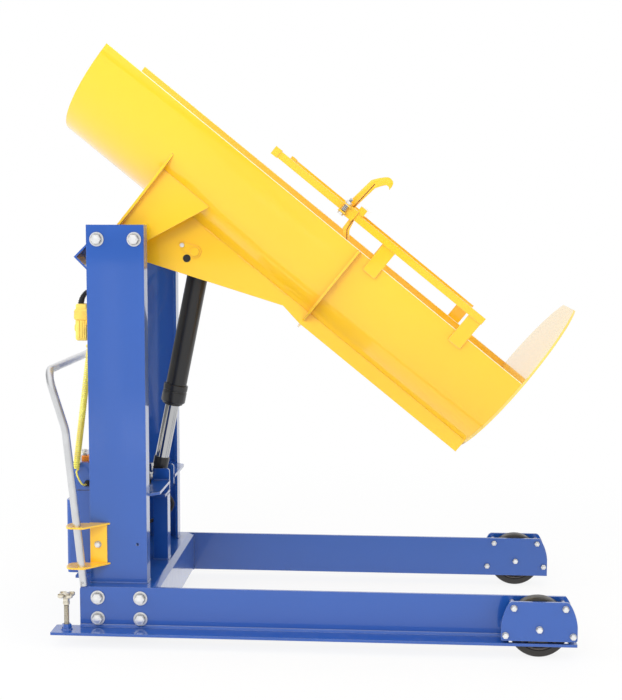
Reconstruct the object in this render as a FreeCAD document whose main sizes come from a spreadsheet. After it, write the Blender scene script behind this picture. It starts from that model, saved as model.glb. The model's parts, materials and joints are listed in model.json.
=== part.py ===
import FreeCAD, Part
import math
import os
import Sketcher
from types import SimpleNamespace

# Hydraulic drum tipper: a half-round chute tips about a shaft between two uprights.
# Frame: +X towards the front wheels, +Y towards the left side, +Z up, floor at Z 0.
# Positions along X are measured from the tilt pivot; pivot_x puts the middle of the machine at X 0.

SIZES = {
    # tilt pivot and floor frame
    "pivot_x": -660.9,
    "pivot_high": 1381.0,
    "fit_gap": 0.05,
    "seat_gap": 0.15,
    "leg_wall": 9.5,
    "leg_lift": 43.0,
    "leg_high": 149.0,
    "leg_out": 398.5,
    "leg_toe": 77.5,
    "leg_tail": 216.0,
    "web_tail": 131.0,
    "leg_bolt_x": 5.0,
    "leg_bolt_pitch_x": 148.0,
    "leg_bolt_pitch_z": 73.0,
    "leg_bolt_low": 81.5,
    "leg_bolt_r": 9.5,
    "pan_front": 143.5,
    "pan_lip": 24.5,
    "pan_dip": 5.0,
    "shelf_back": 180.0,
    "shelf_half": 262.0,
    # front wheels
    "wheel_x": 1427.5,
    "wheel_r": 101.6,
    "wheel_wide": 50.8,
    "axle_r": 9.5,
    "cheek_top_half": 96.0,
    "cheek_low_half": 125.5,
    "cheek_shoulder": 112.0,
    "cheek_low": 61.0,
    "plate_bolt_top": 84.7,
    "plate_bolt_low": 111.0,
    "plate_bolt_high_z": 173.0,
    "plate_bolt_low_z": 80.0,
    "plate_bolt_r": 6.0,
    # uprights and tilt bearings
    "upright_at": -5.5,
    "upright_half": 99.0,
    "upright_out": 346.0,
    "upright_flange": 57.0,
    "upright_web": 8.0,
    "upright_lip": 9.0,
    "upright_over": 49.0,
    "shaft_r": 25.0,
    "bearing_bolt_half": 64.0,
    "bearing_bolt_r": 8.0,
    "bearing_deep": 36.0,
    "bearing_r": 44.0,
    "tie_low": 1321.0,
    "tie_leg": 45.0,
    "tie_wall": 9.0,
    # rear casters
    "caster_x": -20.0,
    "caster_y": 250.0,
    "caster_r": 63.5,
    "caster_wide": 35.0,
    "caster_trail": 32.0,
    "kingpin_r": 8.0,
    "caster_axle_r": 6.0,
    # floor locks
    "lock_x": -168.5,
    "lock_y": 437.0,
    "lock_r": 9.0,
    "lock_nut_r": 17.0,
    "lock_nut_high": 20.0,
    "lock_tip_r": 6.2,
    "lock_tip_high": 10.0,
    "lock_spigot_r": 4.0,
    "lock_top": 166.0,
    # chute
    "tilt": 39.07,
    "axis_off": 489.8,
    "chute_r": 330.2,
    "chute_wall": 4.8,
    "chute_up": 432.0,
    "chute_down": 1366.0,
    "disc_wall": 8.0,
    "disc_flat": 306.0,
    "rib_at": 657.0,
    "rib_wall": 8.0,
    "rib_r": 366.0,
    "rib_notch": 50.0,
    "side_in": 170.0,
    "side_wall": 8.0,
    "ear_in": 252.0,
    "ear_wall": 8.0,
    "hub_r": 47.0,
    "saddle_at": -40.0,
    "saddle_wall": 8.0,
    # drum clamp
    "bar_y": 337.0,
    "bar_wide": 25.0,
    "bar_low": 66.5,
    "bar_start": 226.0,
    "bar_end": 1131.0,
    "bar_cap": 31.0,
    "post_wide": 51.0,
    "post_wall": 10.0,
    "post_drop": 40.0,
    "post_one": 708.0,
    "post_two": 1078.0,
    "sleeve_at": 518.0,
    "sleeve_long": 60.0,
    "sleeve_wall": 7.0,
    "sleeve_gap": 0.5,
    "lever_s": 556.0,
    "lever_pin_r": 8.0,
    "lever_wall": 6.0,
    "lever_slot": 8.0,
    # lift cylinder
    "pin_x": 242.0,
    "pin_z": -45.0,
    "pin_r": 15.88,
    "foot_x": 71.0,
    "foot_z": -880.0,
    "eye_r": 30.0,
    "eye_half": 25.0,
    "barrel_r": 38.0,
    "bore_r": 32.0,
    "barrel_start": 48.0,
    "barrel_end": 552.0,
    "gland_r": 44.5,
    "gland_start": 501.0,
    "gland_end": 574.0,
    "rod_r": 25.4,
    "piston_at": 238.0,
    "piston_long": 28.0,
    "rod_cap_r": 28.5,
    "rod_cap_at": 776.0,
    "rod_cap_long": 54.0,
    # cylinder stand
    "post_back": 57.0,
    "post_front": 110.0,
    "post_half": 27.0,
    "stand_wall": 5.0,
    "stand_top": 432.0,
    "cap_wall": 10.0,
    "cheek_in": 40.0,
    "cheek_wall": 12.0,
    "cheek_back": -106.0,
    "cheek_front": 122.0,
    "cheek_top": 539.0,
    "slot_back": -57.0,
    "slot_front": 80.0,
    "slot_drop": 13.0,
    "slot_deep": 8.5,
    "deck_low": 487.0,
    "deck_wall": 10.0,
    "deck_back": 66.0,
    "deck_front": 125.0,
    "deck_corner": 258.0,
    # push handle
    "handle_r": 13.5,
    "handle_y": 400.0,
    "handle_back": -233.0,
    "handle_top": 937.0,
    "bracket_low": 258.0,
    "bracket_high": 404.0,
    "bracket_wall": 6.0,
    "bracket_bolt_x": -76.0,
    "bracket_bolt_z": 329.0,
    "bracket_bolt_r": 6.0,
    # power unit and pendant
    "tank_back": -197.0,
    "tank_front": -112.0,
    "tank_right": -225.0,
    "tank_left": 60.0,
    "tank_low": 493.0,
    "tank_top": 591.0,
    "battery_back": -219.0,
    "battery_step": 455.0,
    "battery_cover_back": -203.0,
    "battery_top": 489.0,
    "motor_r": 60.0,
    "motor_long": 190.0,
    "pendant_x": -137.0,
    "pendant_y": -275.0,
    "pendant_low": 1030.0,
    "pendant_high": 128.0,
    "pendant_half": 24.0,
    "button_r": 9.0,
    # curly cord and hose
    "cord_r": 3.15,
    "coil_r": 8.8,
    "coil_turns": 60,
    "hose_r": 7.0,
}

V = FreeCAD.Vector
doc = FreeCAD.newDocument("drum_tipper")
sheet = doc.addObject("Spreadsheet::Sheet", "Sizes")


class Dim:
    """A size with its value and the sheet expression that it comes from."""

    def __init__(self, value, text):
        self.value = float(value)
        self.text = text

    def join(self, other, sign, value):
        return Dim(value, f"({self.text} {sign} {dim(other).text})")

    def __add__(self, other):
        return self.join(other, "+", self.value + dim(other).value)

    def __sub__(self, other):
        return self.join(other, "-", self.value - dim(other).value)

    def __mul__(self, other):
        return self.join(other, "*", self.value * dim(other).value)

    def __truediv__(self, other):
        return self.join(other, "/", self.value / dim(other).value)

    def __neg__(self):
        return Dim(-self.value, f"(0 - {self.text})")

    def __radd__(self, other):
        return dim(other) + self

    def __rsub__(self, other):
        return dim(other) - self

    def __rmul__(self, other):
        return dim(other) * self


def dim(number):
    """Any number as a Dim."""
    if isinstance(number, Dim):
        return number
    return Dim(number, f"({float(number)!r})")


def val(number):
    """The plain value of a number or Dim."""
    return dim(number).value


def fill_sheet():
    """Write the driving sizes to the sheet and return them as named Dims."""
    named = {}
    for row, (alias, value) in enumerate(SIZES.items(), start=1):
        sheet.set(f"A{row}", alias)
        sheet.set(f"B{row}", str(value))
        sheet.setAlias(f"B{row}", alias)
        named[alias] = Dim(value, f"Sizes.{alias}")
    doc.recompute()
    return SimpleNamespace(**named)


d = fill_sheet()
NODES = []


def node(obj, label):
    """Mark an object as a finished sub-part under its file name."""
    obj.Label = label
    NODES.append(obj)
    return obj


# Frames: the floor frame, the tilted chute and the lift cylinder

def turn_y(angle):
    return FreeCAD.Rotation(V(0, 1, 0), angle)


def shift(x, y, z):
    return FreeCAD.Placement(V(val(x), val(y), val(z)), FreeCAD.Rotation())


TURNS = {
    "Z": FreeCAD.Rotation(),
    "X": FreeCAD.Rotation(V(0, 1, 0), 90),
    "Y": FreeCAD.Rotation(V(1, 0, 0), -90),
}
BASE = shift(d.pivot_x, 0, 0)
PIVOT = BASE.multiply(shift(0, 0, d.pivot_high))
CHUTE = PIVOT.multiply(FreeCAD.Placement(V(), turn_y(val(d.tilt)))).multiply(shift(0, 0, d.axis_off))
reach_x = val(d.pin_x - d.foot_x)
reach_z = val(d.pin_z - d.foot_z)
LIFT_LENGTH = math.hypot(reach_x, reach_z)
LIFT_LEAN = math.degrees(math.atan2(reach_x, reach_z))
LIFT = PIVOT.multiply(FreeCAD.Placement(V(val(d.pin_x), 0, val(d.pin_z)), turn_y(90 + LIFT_LEAN)))


# Building helpers

def bind(obj, prop, size):
    obj.setExpression(prop, dim(size).text)


def box(name, low, high, frame=BASE):
    """A block between two corners."""
    obj = doc.addObject("Part::Box", name)
    for prop, a, b in zip(("Length", "Width", "Height"), low, high):
        bind(obj, prop, dim(b) - a)
    obj.Placement = frame.multiply(shift(*low))
    return obj


def cylinder(name, radius, length, spot, along="Z", frame=BASE, angle=None):
    """A round bar from a spot along an axis."""
    obj = doc.addObject("Part::Cylinder", name)
    bind(obj, "Radius", radius)
    bind(obj, "Height", length)
    turn = TURNS[along]
    if angle:
        obj.Angle = angle
        turn = FreeCAD.Rotation(V(0, -1, 0), V(0, 0, -1), V(1, 0, 0), "ZXY")
    obj.Placement = frame.multiply(FreeCAD.Placement(V(*[val(c) for c in spot]), turn))
    return obj


def cone(name, low_r, high_r, length, spot, direction):
    """A tapered round bar from a spot along a direction."""
    obj = doc.addObject("Part::Cone", name)
    bind(obj, "Radius1", low_r)
    bind(obj, "Radius2", high_r)
    bind(obj, "Height", length)
    turn = FreeCAD.Rotation(V(0, 0, 1), V(*direction))
    obj.Placement = BASE.multiply(FreeCAD.Placement(V(*[val(c) for c in spot]), turn))
    return obj


def hexagon(name, across, length, spot, along="Z", frame=BASE):
    """A hexagonal head or nut, sized across its flats."""
    obj = doc.addObject("Part::Prism", name)
    obj.Polygon = 6
    bind(obj, "Circumradius", dim(across) / math.sqrt(3))
    bind(obj, "Height", length)
    obj.Placement = frame.multiply(FreeCAD.Placement(V(*[val(c) for c in spot]), TURNS[along]))
    return obj


def fuse(name, *shapes):
    obj = doc.addObject("Part::MultiFuse", name)
    obj.Shapes = list(shapes)
    obj.Refine = True
    return obj


def cut(name, base, *tools):
    obj = doc.addObject("Part::Cut", name)
    obj.Base = base
    obj.Tool = tools[0] if len(tools) == 1 else group(name + "_tools", *tools)
    return obj


def group(name, *shapes):
    obj = doc.addObject("Part::Compound", name)
    obj.Links = list(shapes)
    return obj


def mirror(name, source):
    """The left-hand copy of a right-hand piece."""
    obj = doc.addObject("Part::Mirroring", name)
    obj.Source = source
    obj.Normal = V(0, 1, 0)
    obj.Base = V()
    return obj


def rounded(name, source, radius, keep):
    """Round the edges of a solid that keep(edge) picks out."""
    doc.recompute()
    obj = doc.addObject("Part::Fillet", name)
    obj.Base = source
    obj.Edges = [
        (i, val(radius), val(radius)) for i, edge in enumerate(source.Shape.Edges, start=1) if keep(edge)
    ]
    return obj


def upright_edge(edge):
    """True for a straight edge that runs along Z."""
    a, b = edge.Vertexes[0].Point, edge.Vertexes[-1].Point
    return abs(a.x - b.x) < 1e-6 and abs(a.y - b.y) < 1e-6


PLANES = {"XZ": (0, 2), "XY": (0, 1), "YZ": (1, 2)}


def plate(name, plane, corners, thick, spot=(0, 0, 0), holes=(), frame=BASE):
    """A plate padded from a sketched outline; a third value on a corner rounds it."""
    body = doc.addObject("PartDesign::Body", name)
    sketch = body.newObject("Sketcher::SketchObject", name + "_outline")
    support = [f for f in body.Origin.OriginFeatures if f.Role == plane + "_Plane"][0]
    sketch.AttachmentSupport = [(support, "")]
    sketch.MapMode = "FlatFace"
    spots = [V(val(c[0]), val(c[1]), 0) for c in corners]
    count = len(corners)
    for i in range(count):
        sketch.addGeometry(Part.LineSegment(spots[i], spots[(i + 1) % count]), False)
    for i in range(count):
        sketch.addConstraint(Sketcher.Constraint("Coincident", i, 2, (i + 1) % count, 1))
    for i, corner in enumerate(corners):
        pin_point(sketch, i, 1, corner)
    for x, y, radius in holes:
        circle = Part.Circle(V(val(x), val(y), 0), V(0, 0, 1), val(radius))
        index = sketch.addGeometry(circle, False)
        row = sketch.addConstraint(Sketcher.Constraint("Radius", index, val(radius)))
        sketch.setExpression(f"Constraints[{row}]", dim(radius).text)
        pin_point(sketch, index, 3, (x, y))
    pad = body.newObject("PartDesign::Pad", name + "_pad")
    pad.Profile = sketch
    pad.Reversed = plane == "XZ"
    bind(pad, "Length", thick)
    doc.recompute()
    round_plate(body, pad, plane, [c for c in corners if len(c) == 3])
    body.Placement = frame.multiply(shift(*spot))
    return body


def pin_point(sketch, index, end, place):
    """Hold a sketch point at a place given by two sizes."""
    for kind, size in zip(("DistanceX", "DistanceY"), place):
        row = sketch.addConstraint(Sketcher.Constraint(kind, -1, 1, index, end, val(size)))
        sketch.setExpression(f"Constraints[{row}]", dim(size).text)


def round_plate(body, pad, plane, corners):
    """Fillet the edges that stand on rounded corners."""
    across = PLANES[plane]
    for count, (x, y, radius) in enumerate(corners):
        names = []
        tip = body.Tip
        for i, edge in enumerate(tip.Shape.Edges, start=1):
            ends = [v.Point for v in edge.Vertexes]
            off = [math.hypot(p[across[0]] - val(x), p[across[1]] - val(y)) for p in ends]
            if len(off) == 2 and max(off) < 1e-4:
                names.append(f"Edge{i}")
        fillet = body.newObject("PartDesign::Fillet", f"{pad.Name}_round{count}")
        fillet.Base = (tip, names)
        bind(fillet, "Radius", radius)
        doc.recompute()


def rounded_path(points, radii):
    """A wire of straight runs joined by tangent arcs."""
    edges = []
    start = points[0]
    for i in range(1, len(points) - 1):
        before = (points[i] - points[i - 1]).normalize()
        after = (points[i + 1] - points[i]).normalize()
        half_turn = before.getAngle(after) / 2
        tangent = radii[i - 1] * math.tan(half_turn)
        first = points[i] - before * tangent
        last = points[i] + after * tangent
        middle_way = (after - before).normalize()
        inset = radii[i - 1] * (1 / math.cos(half_turn) - 1)
        if (first - start).Length > 1e-6:
            edges.append(Part.LineSegment(start, first).toShape())
        edges.append(Part.Arc(first, points[i] + middle_way * inset, last).toShape())
        start = last
    edges.append(Part.LineSegment(start, points[-1]).toShape())
    return edges


def easy_radii(points):
    """Bend radii as large as the runs on both sides allow."""
    radii = []
    for i in range(1, len(points) - 1):
        before = points[i] - points[i - 1]
        after = points[i + 1] - points[i]
        turn = before.getAngle(after)
        radii.append(0.48 * min(before.Length, after.Length) / math.tan(turn / 2))
    return radii


def sweep(edges, radius):
    """A round bar along a wire."""
    wire = Part.Wire(edges)
    first = wire.Edges[0]
    start = first.valueAt(first.FirstParameter)
    heading = first.tangentAt(first.FirstParameter)
    ring = Part.Wire(Part.Circle(start, heading, radius).toShape())
    return wire.makePipeShell([ring], True, False)


def feature(name, shape, frame=BASE):
    obj = doc.addObject("Part::Feature", name)
    obj.Shape = shape
    obj.Placement = frame
    return obj


def bolt(name, radius, head, washer, grip, spot, along="Y", frame=BASE, nut=True):
    """A hex bolt from a spot on the outer face, its grip running along an axis, with washers and nut."""
    sign = {"Y": V(0, 1, 0), "Z": V(0, 0, 1), "X": V(1, 0, 0)}[along]
    at = V(*[val(c) for c in spot])
    washer_wall = 3
    head_high = val(head) * 0.42
    pieces = [
        hexagon(name + "_head", head, head_high, at - sign * (washer_wall + head_high), along, frame),
        cylinder(name + "_washer", washer, washer_wall, at - sign * washer_wall, along, frame),
        cylinder(name + "_shank", radius, val(grip) + washer_wall, at - sign * washer_wall, along, frame),
    ]
    if nut:
        pieces.append(hexagon(name + "_nut", head, head_high, at + sign * val(grip), along, frame))
    return fuse(name, *pieces)


leg_top = d.leg_lift + d.leg_high
web_in = d.leg_out - d.leg_wall
flange_top = d.leg_lift + d.leg_wall
toe_out = d.leg_out + d.leg_toe
shell_r = d.chute_r + d.chute_wall
LEG_BOLTS = [
    (d.leg_bolt_x + side * d.leg_bolt_pitch_x / 2, d.leg_bolt_low + row * d.leg_bolt_pitch_z)
    for side in (-1, 1)
    for row in (0, 1)
]
PLATE_BOLTS = [
    (d.wheel_x + side * half, z)
    for side in (-1, 1)
    for half, z in ((d.plate_bolt_top, d.plate_bolt_high_z), (d.plate_bolt_low, d.plate_bolt_low_z))
]


# Legs: an upright web with a toe flange along its foot, open for the wheel

def build_legs():
    front = d.wheel_x + d.cheek_low_half
    web = plate("right_leg_web", "XZ", [
        (-d.web_tail, d.leg_lift),
        (front, d.leg_lift),
        (front, d.cheek_shoulder),
        (d.wheel_x + d.cheek_top_half, leg_top),
        (-d.web_tail, leg_top, 12),
    ], d.leg_wall, (0, -d.leg_out, 0))
    toe = box("right_leg_toe", (-d.leg_tail, -toe_out, d.leg_lift), (front, -web_in, flange_top))
    whole = fuse("right_leg_weldment", web, toe)
    wheel_gap = 98
    tools = [box("right_leg_wheel_opening", (d.wheel_x - wheel_gap, -toe_out + 12, 0),
                 (d.wheel_x + wheel_gap, -d.leg_out, flange_top + 1))]
    for i, (x, z) in enumerate(LEG_BOLTS):
        tools.append(cylinder(f"leg_hole_{i}", d.leg_bolt_r, 40, (x, -d.leg_out - 20, z), "Y"))
    for i, (x, z) in enumerate(PLATE_BOLTS):
        tools.append(cylinder(f"plate_hole_{i}", d.plate_bolt_r, 40, (x, -d.leg_out - 20, z), "Y"))
    tools.append(cylinder("axle_hole", d.axle_r, 40, (d.wheel_x, -d.leg_out - 20, d.wheel_r), "Y"))
    tools.append(cylinder("lock_hole", d.lock_r + 1, 40, (d.lock_x, -d.lock_y, d.leg_lift - 10)))
    right = cut("right_leg", whole, *tools)
    node(right, "right_leg")
    node(mirror("left_leg", right), "left_leg")


# Base pan: top plate with a sloped front lip, apron, back plate and bolted sides, with the power-unit shelf

def build_base():
    wall = d.leg_wall
    top = leg_top - wall
    pan = fuse(
        "base_weldment",
        plate("pan_top", "XZ", [
            (-d.web_tail, top), (d.pan_front, top), (d.pan_front, leg_top - d.pan_dip),
            (d.pan_front - d.pan_lip, leg_top), (-d.web_tail, leg_top),
        ], web_in * 2, (0, -web_in, 0)),
        box("pan_back", (-d.web_tail, -web_in, d.leg_lift), (wall - d.web_tail, web_in, top)),
        box("pan_right", (wall - d.web_tail, -web_in, d.leg_lift), (d.pan_front, wall - web_in, top)),
        box("pan_left", (wall - d.web_tail, web_in - wall, d.leg_lift), (d.pan_front, web_in, top)),
        box("pan_apron", (d.pan_front - wall, wall - web_in, flange_top), (d.pan_front, web_in - wall, top)),
        box("unit_shelf", (-d.shelf_back, -d.shelf_half, top), (-d.web_tail, d.shelf_half, leg_top)),
    )
    tools = []
    for i, (x, z) in enumerate(LEG_BOLTS):
        for side, start in (("right", -web_in - 5), ("left", web_in - wall - 5)):
            tools.append(cylinder(f"pan_hole_{side}_{i}", d.leg_bolt_r, wall + 10, (x, start, z), "Y"))
    node(cut("base_pan", pan, *tools), "base_pan")
    bolts = []
    for i, (x, z) in enumerate(LEG_BOLTS):
        right = bolt(f"leg_bolt_{i}", d.leg_bolt_r, 28, 24.5, wall * 2, (x, -d.leg_out, z))
        bolts += [right, mirror(f"leg_bolt_left_{i}", right)]
    node(group("leg_bolts", *bolts), "leg_bolts")


# Uprights: channels with their flanges inwards

def build_uprights():
    front = d.upright_at + d.upright_half
    rear = d.upright_at - d.upright_half
    back = -d.upright_out
    lip = d.upright_lip
    edge = back + d.upright_flange
    face = back + d.upright_web
    channel = plate("right_channel", "XY", [
        (rear, back), (front, back), (front, edge), (front - lip, edge),
        (front - lip, face), (rear + lip, face), (rear + lip, edge), (rear, edge),
    ], d.pivot_high + d.upright_over - leg_top, (0, 0, leg_top))
    tools = []
    for i, side in enumerate((-1, 1)):
        tools.append(cylinder(f"bearing_hole_{i}", d.bearing_bolt_r, d.upright_web + 10,
                              (side * d.bearing_bolt_half, back - 5, d.pivot_high), "Y"))
    tools.append(cylinder("bracket_hole", d.bracket_bolt_r, d.upright_web + 10,
                          (d.bracket_bolt_x, back - 5, d.bracket_bolt_z), "Y"))
    spare_x, spare_r = 60.5, 5
    tools.append(cylinder("spare_hole", spare_r, d.upright_web + 10,
                          (spare_x, back - 5, d.bracket_bolt_z), "Y"))
    right = cut("right_upright", channel, *tools)
    node(right, "right_upright")
    node(mirror("left_upright", right), "left_upright")
    ridge = rear - d.tie_leg
    tie = plate("rear_cross_tie", "XZ", [
        (ridge, d.tie_low), (rear, d.tie_low - d.tie_leg), (rear, d.tie_low - d.tie_leg + d.tie_wall),
        (ridge + d.tie_wall, d.tie_low), (rear, d.tie_low + d.tie_leg - d.tie_wall),
        (rear, d.tie_low + d.tie_leg),
    ], -face * 2, (0, face, 0))
    node(tie, "rear_cross_tie")


# Tilt bearings: two-bolt flange housings on the inner faces of the uprights

def build_bearings():
    face = d.upright_web - d.upright_out
    flange = plate("bearing_flange", "XZ", [
        (-80, -16), (-46, -40), (46, -40), (80, -16), (80, 16), (46, 40), (-46, 40), (-80, 16),
    ], 14, (0, face, d.pivot_high))
    barrel = cylinder("bearing_barrel", d.bearing_r, d.bearing_deep, (0, face, d.pivot_high), "Y")
    tools = [cylinder("bearing_bore", d.shaft_r + d.fit_gap, d.bearing_deep + 2,
                      (0, face - 1, d.pivot_high), "Y")]
    bolts = []
    for i, side in enumerate((-1, 1)):
        x = side * d.bearing_bolt_half
        tools.append(cylinder(f"flange_hole_{i}", d.bearing_bolt_r, 20, (x, face - 2, d.pivot_high), "Y"))
        right = bolt(f"bearing_bolt_{i}", d.bearing_bolt_r, 24, 24.5, d.upright_web + 14,
                     (x, -d.upright_out, d.pivot_high))
        bolts += [right, mirror(f"bearing_bolt_left_{i}", right)]
    right = cut("bearing_right", fuse("bearing_casting", flange, barrel), *tools)
    node(group("bearing_housings", right, mirror("bearing_left", right)), "bearing_housings")
    node(group("bearing_bolts", *bolts), "bearing_bolts")


# Front wheels between the leg webs and outboard plates

def build_wheels():
    low_half, top_half = d.cheek_low_half, d.cheek_top_half
    outer = plate("right_wheel_plate", "XZ", [
        (d.wheel_x - low_half, d.cheek_low, 4), (d.wheel_x + low_half, d.cheek_low, 4),
        (d.wheel_x + low_half, d.cheek_shoulder, 30), (d.wheel_x + top_half, leg_top + 2, 8),
        (d.wheel_x - top_half, leg_top + 2, 8), (d.wheel_x - low_half, d.cheek_shoulder, 30),
    ], d.leg_wall, (0, -toe_out, 0), holes=[(x, z, d.plate_bolt_r) for x, z in PLATE_BOLTS]
        + [(d.wheel_x, d.wheel_r, d.axle_r)])
    node(group("wheel_plates", outer, mirror("left_wheel_plate", outer)), "wheel_plates")
    gap = toe_out - d.leg_wall - d.leg_out
    fasteners = []
    for i, (x, z) in enumerate(PLATE_BOLTS):
        through = gap + d.leg_wall * 2
        sleeve = cylinder(f"plate_spacer_{i}", 8, gap, (x, d.leg_wall - toe_out, z), "Y")
        right = fuse(f"plate_bolt_{i}", sleeve,
                     bolt(f"plate_screw_{i}", d.plate_bolt_r, 18, 11, through, (x, -toe_out, z)))
        fasteners += [right, mirror(f"plate_bolt_left_{i}", right)]
    middle = (d.leg_out + toe_out - d.leg_wall) / 2
    side_room = (gap - d.wheel_wide) / 2 - 0.4
    axle = fuse(
        "right_axle",
        bolt("axle_bolt", d.axle_r, 26, 16, gap + d.leg_wall * 2, (d.wheel_x, -toe_out, d.wheel_r)),
        cylinder("axle_spacer_out", 20, side_room, (d.wheel_x, d.leg_wall - toe_out, d.wheel_r), "Y"),
        cylinder("axle_spacer_in", 20, side_room, (d.wheel_x, -d.leg_out - side_room, d.wheel_r), "Y"),
    )
    node(group("wheel_fasteners", *fasteners, axle, mirror("left_axle", axle)), "wheel_fasteners")
    for side, sign in (("right", -1), ("left", 1)):
        start = sign * middle - d.wheel_wide / 2
        tyre = cylinder(f"{side}_wheel_disc", d.wheel_r, d.wheel_wide, (d.wheel_x, start, d.wheel_r), "Y")
        soft = rounded(f"{side}_wheel_round", tyre, 5, lambda edge: edge.Closed)
        dish = 6
        tools = [cylinder(f"{side}_wheel_bore", d.axle_r + d.fit_gap, d.wheel_wide + 2,
                          (d.wheel_x, start - 1, d.wheel_r), "Y")]
        for face in (start, start + d.wheel_wide - dish):
            ring = cylinder(f"{side}_dish", d.wheel_r - 24, dish, (d.wheel_x, face, d.wheel_r), "Y")
            core = cylinder(f"{side}_hub", 30, dish, (d.wheel_x, face, d.wheel_r), "Y")
            tools.append(cut(f"{side}_dish_ring", ring, core))
        node(cut(f"{side}_front_wheel", soft, *tools), f"{side}_front_wheel")


# Rear swivel casters under the base pan

def build_casters():
    ceiling = leg_top - d.leg_wall
    plate_low = ceiling - 6
    crown_top = plate_low - 0.3
    crown_low = crown_top - 16
    half = d.caster_wide / 2
    plates = []
    for side, sign in (("right", -1), ("left", 1)):
        x, y = d.caster_x, sign * d.caster_y
        top = box(f"{side}_caster_top", (x - 52, y - 42, plate_low), (x + 52, y + 42, ceiling))
        pin = cylinder(f"{side}_kingpin", d.kingpin_r, 24, (x, y, plate_low - 24))
        nut = cylinder(f"{side}_kingpin_nut", 14, 6, (x, y, crown_low - 0.3 - 6))
        plates.append(fuse(f"{side}_caster_mount", top, pin, nut))
        axle_x = x - d.caster_trail
        leg_in = half + 2
        leg_out = leg_in + 5
        crown = cylinder(f"{side}_crown", 32, 16, (x, y, crown_low))
        deck = box(f"{side}_fork_deck", (axle_x - 20, y - leg_out, crown_low),
                   (x + 20, y + leg_out, crown_low + 8))
        legs = []
        for name, low in (("a", y - leg_out), ("b", y + leg_in)):
            legs.append(plate(f"{side}_fork_leg_{name}", "XZ", [
                (axle_x - 16, d.caster_r - 16, 12), (axle_x + 16, d.caster_r - 16, 12),
                (x + 20, crown_low), (axle_x - 20, crown_low),
            ], 5, (0, low, 0)))
        axle = cylinder(f"{side}_caster_axle", d.caster_axle_r, (leg_out + 6) * 2,
                        (axle_x, y - leg_out - 6, d.caster_r), "Y")
        fork = cut(f"{side}_caster_fork", fuse(f"{side}_fork", crown, deck, *legs, axle),
                   cylinder(f"{side}_king_hole", d.kingpin_r + d.fit_gap, 40, (x, y, crown_low - 10)))
        node(fork, f"{side}_caster_fork")
        tyre = cylinder(f"{side}_caster_tyre", d.caster_r, d.caster_wide, (axle_x, y - half, d.caster_r), "Y")
        soft = rounded(f"{side}_caster_soft", tyre, 6, lambda edge: edge.Closed)
        node(cut(f"{side}_caster_wheel", soft, cylinder(
            f"{side}_caster_bore", d.caster_axle_r + d.fit_gap, d.caster_wide + 2,
            (axle_x, y - half - 1, d.caster_r), "Y")), f"{side}_caster_wheel")
    node(group("caster_mounts", *plates), "caster_mounts")


# Floor locks: knobbed screws in welded nuts, each with a swivel tip that is screwed down to the floor

def build_locks():
    nuts = []
    for side, sign in (("right", -1), ("left", 1)):
        x, y = d.lock_x, sign * d.lock_y
        nut = cylinder(f"{side}_lock_boss", d.lock_nut_r, d.lock_nut_high, (x, y, flange_top))
        nuts.append(cut(f"{side}_lock_nut", nut, cylinder(
            f"{side}_lock_thread", d.lock_r + d.fit_gap, d.lock_nut_high + 2, (x, y, flange_top - 1))))
        node(fuse(
            f"{side}_lock_foot",
            cylinder(f"{side}_tip", d.lock_tip_r, d.lock_tip_high, (x, y, d.leg_lift)),
            cylinder(f"{side}_tip_spigot", d.lock_spigot_r, d.lock_tip_high * 2, (x, y, d.leg_lift)),
        ), f"{side}_lock_foot")
        stem_low = d.leg_lift + d.lock_tip_high + 0.3
        stem = cylinder(f"{side}_lock_stem", d.lock_r, d.lock_top - stem_low, (x, y, stem_low))
        socket = cylinder(f"{side}_tip_socket", d.lock_spigot_r + d.fit_gap, d.lock_tip_high, (x, y, stem_low))
        collar = cylinder(f"{side}_lock_collar", 11.5, 34, (x, y, d.lock_top - 26))
        lobes = []
        for i in range(4):
            angle = math.radians(45 + 90 * i)
            spot = (x + 20 * math.cos(angle), y + 20 * math.sin(angle), d.lock_top)
            lobes.append(cylinder(f"{side}_lobe_{i}", 12.5, 12, spot))
        hub = cylinder(f"{side}_knob_hub", 15, 16, (x, y, d.lock_top - 2))
        knobbed = fuse(f"{side}_lock_body", stem, collar, hub, *lobes)
        node(cut(f"{side}_lock_screw", knobbed, socket), f"{side}_lock_screw")
    node(group("lock_nuts", *nuts), "lock_nuts")


# Chute: half-round shell, end disc, stiffening rib, hinge plates and shaft

def shell_tool(name, start, length):
    """The room of the shell, which the plates welded to it are cut back to."""
    return cylinder(name, shell_r + d.seat_gap, length, (start, 0, 0), "X", CHUTE)


def hub_disc(name, low, thick):
    return cylinder(name, d.hub_r, thick, (0, low, -d.axis_off), "Y", CHUTE)


def lift_pin_spot():
    """The lift pin in the chute's own frame, along its axis and out from it."""
    spot = CHUTE.inverse().multVec(PIVOT.multVec(V(val(d.pin_x), 0, val(d.pin_z))))
    return spot.x, spot.z


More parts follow.
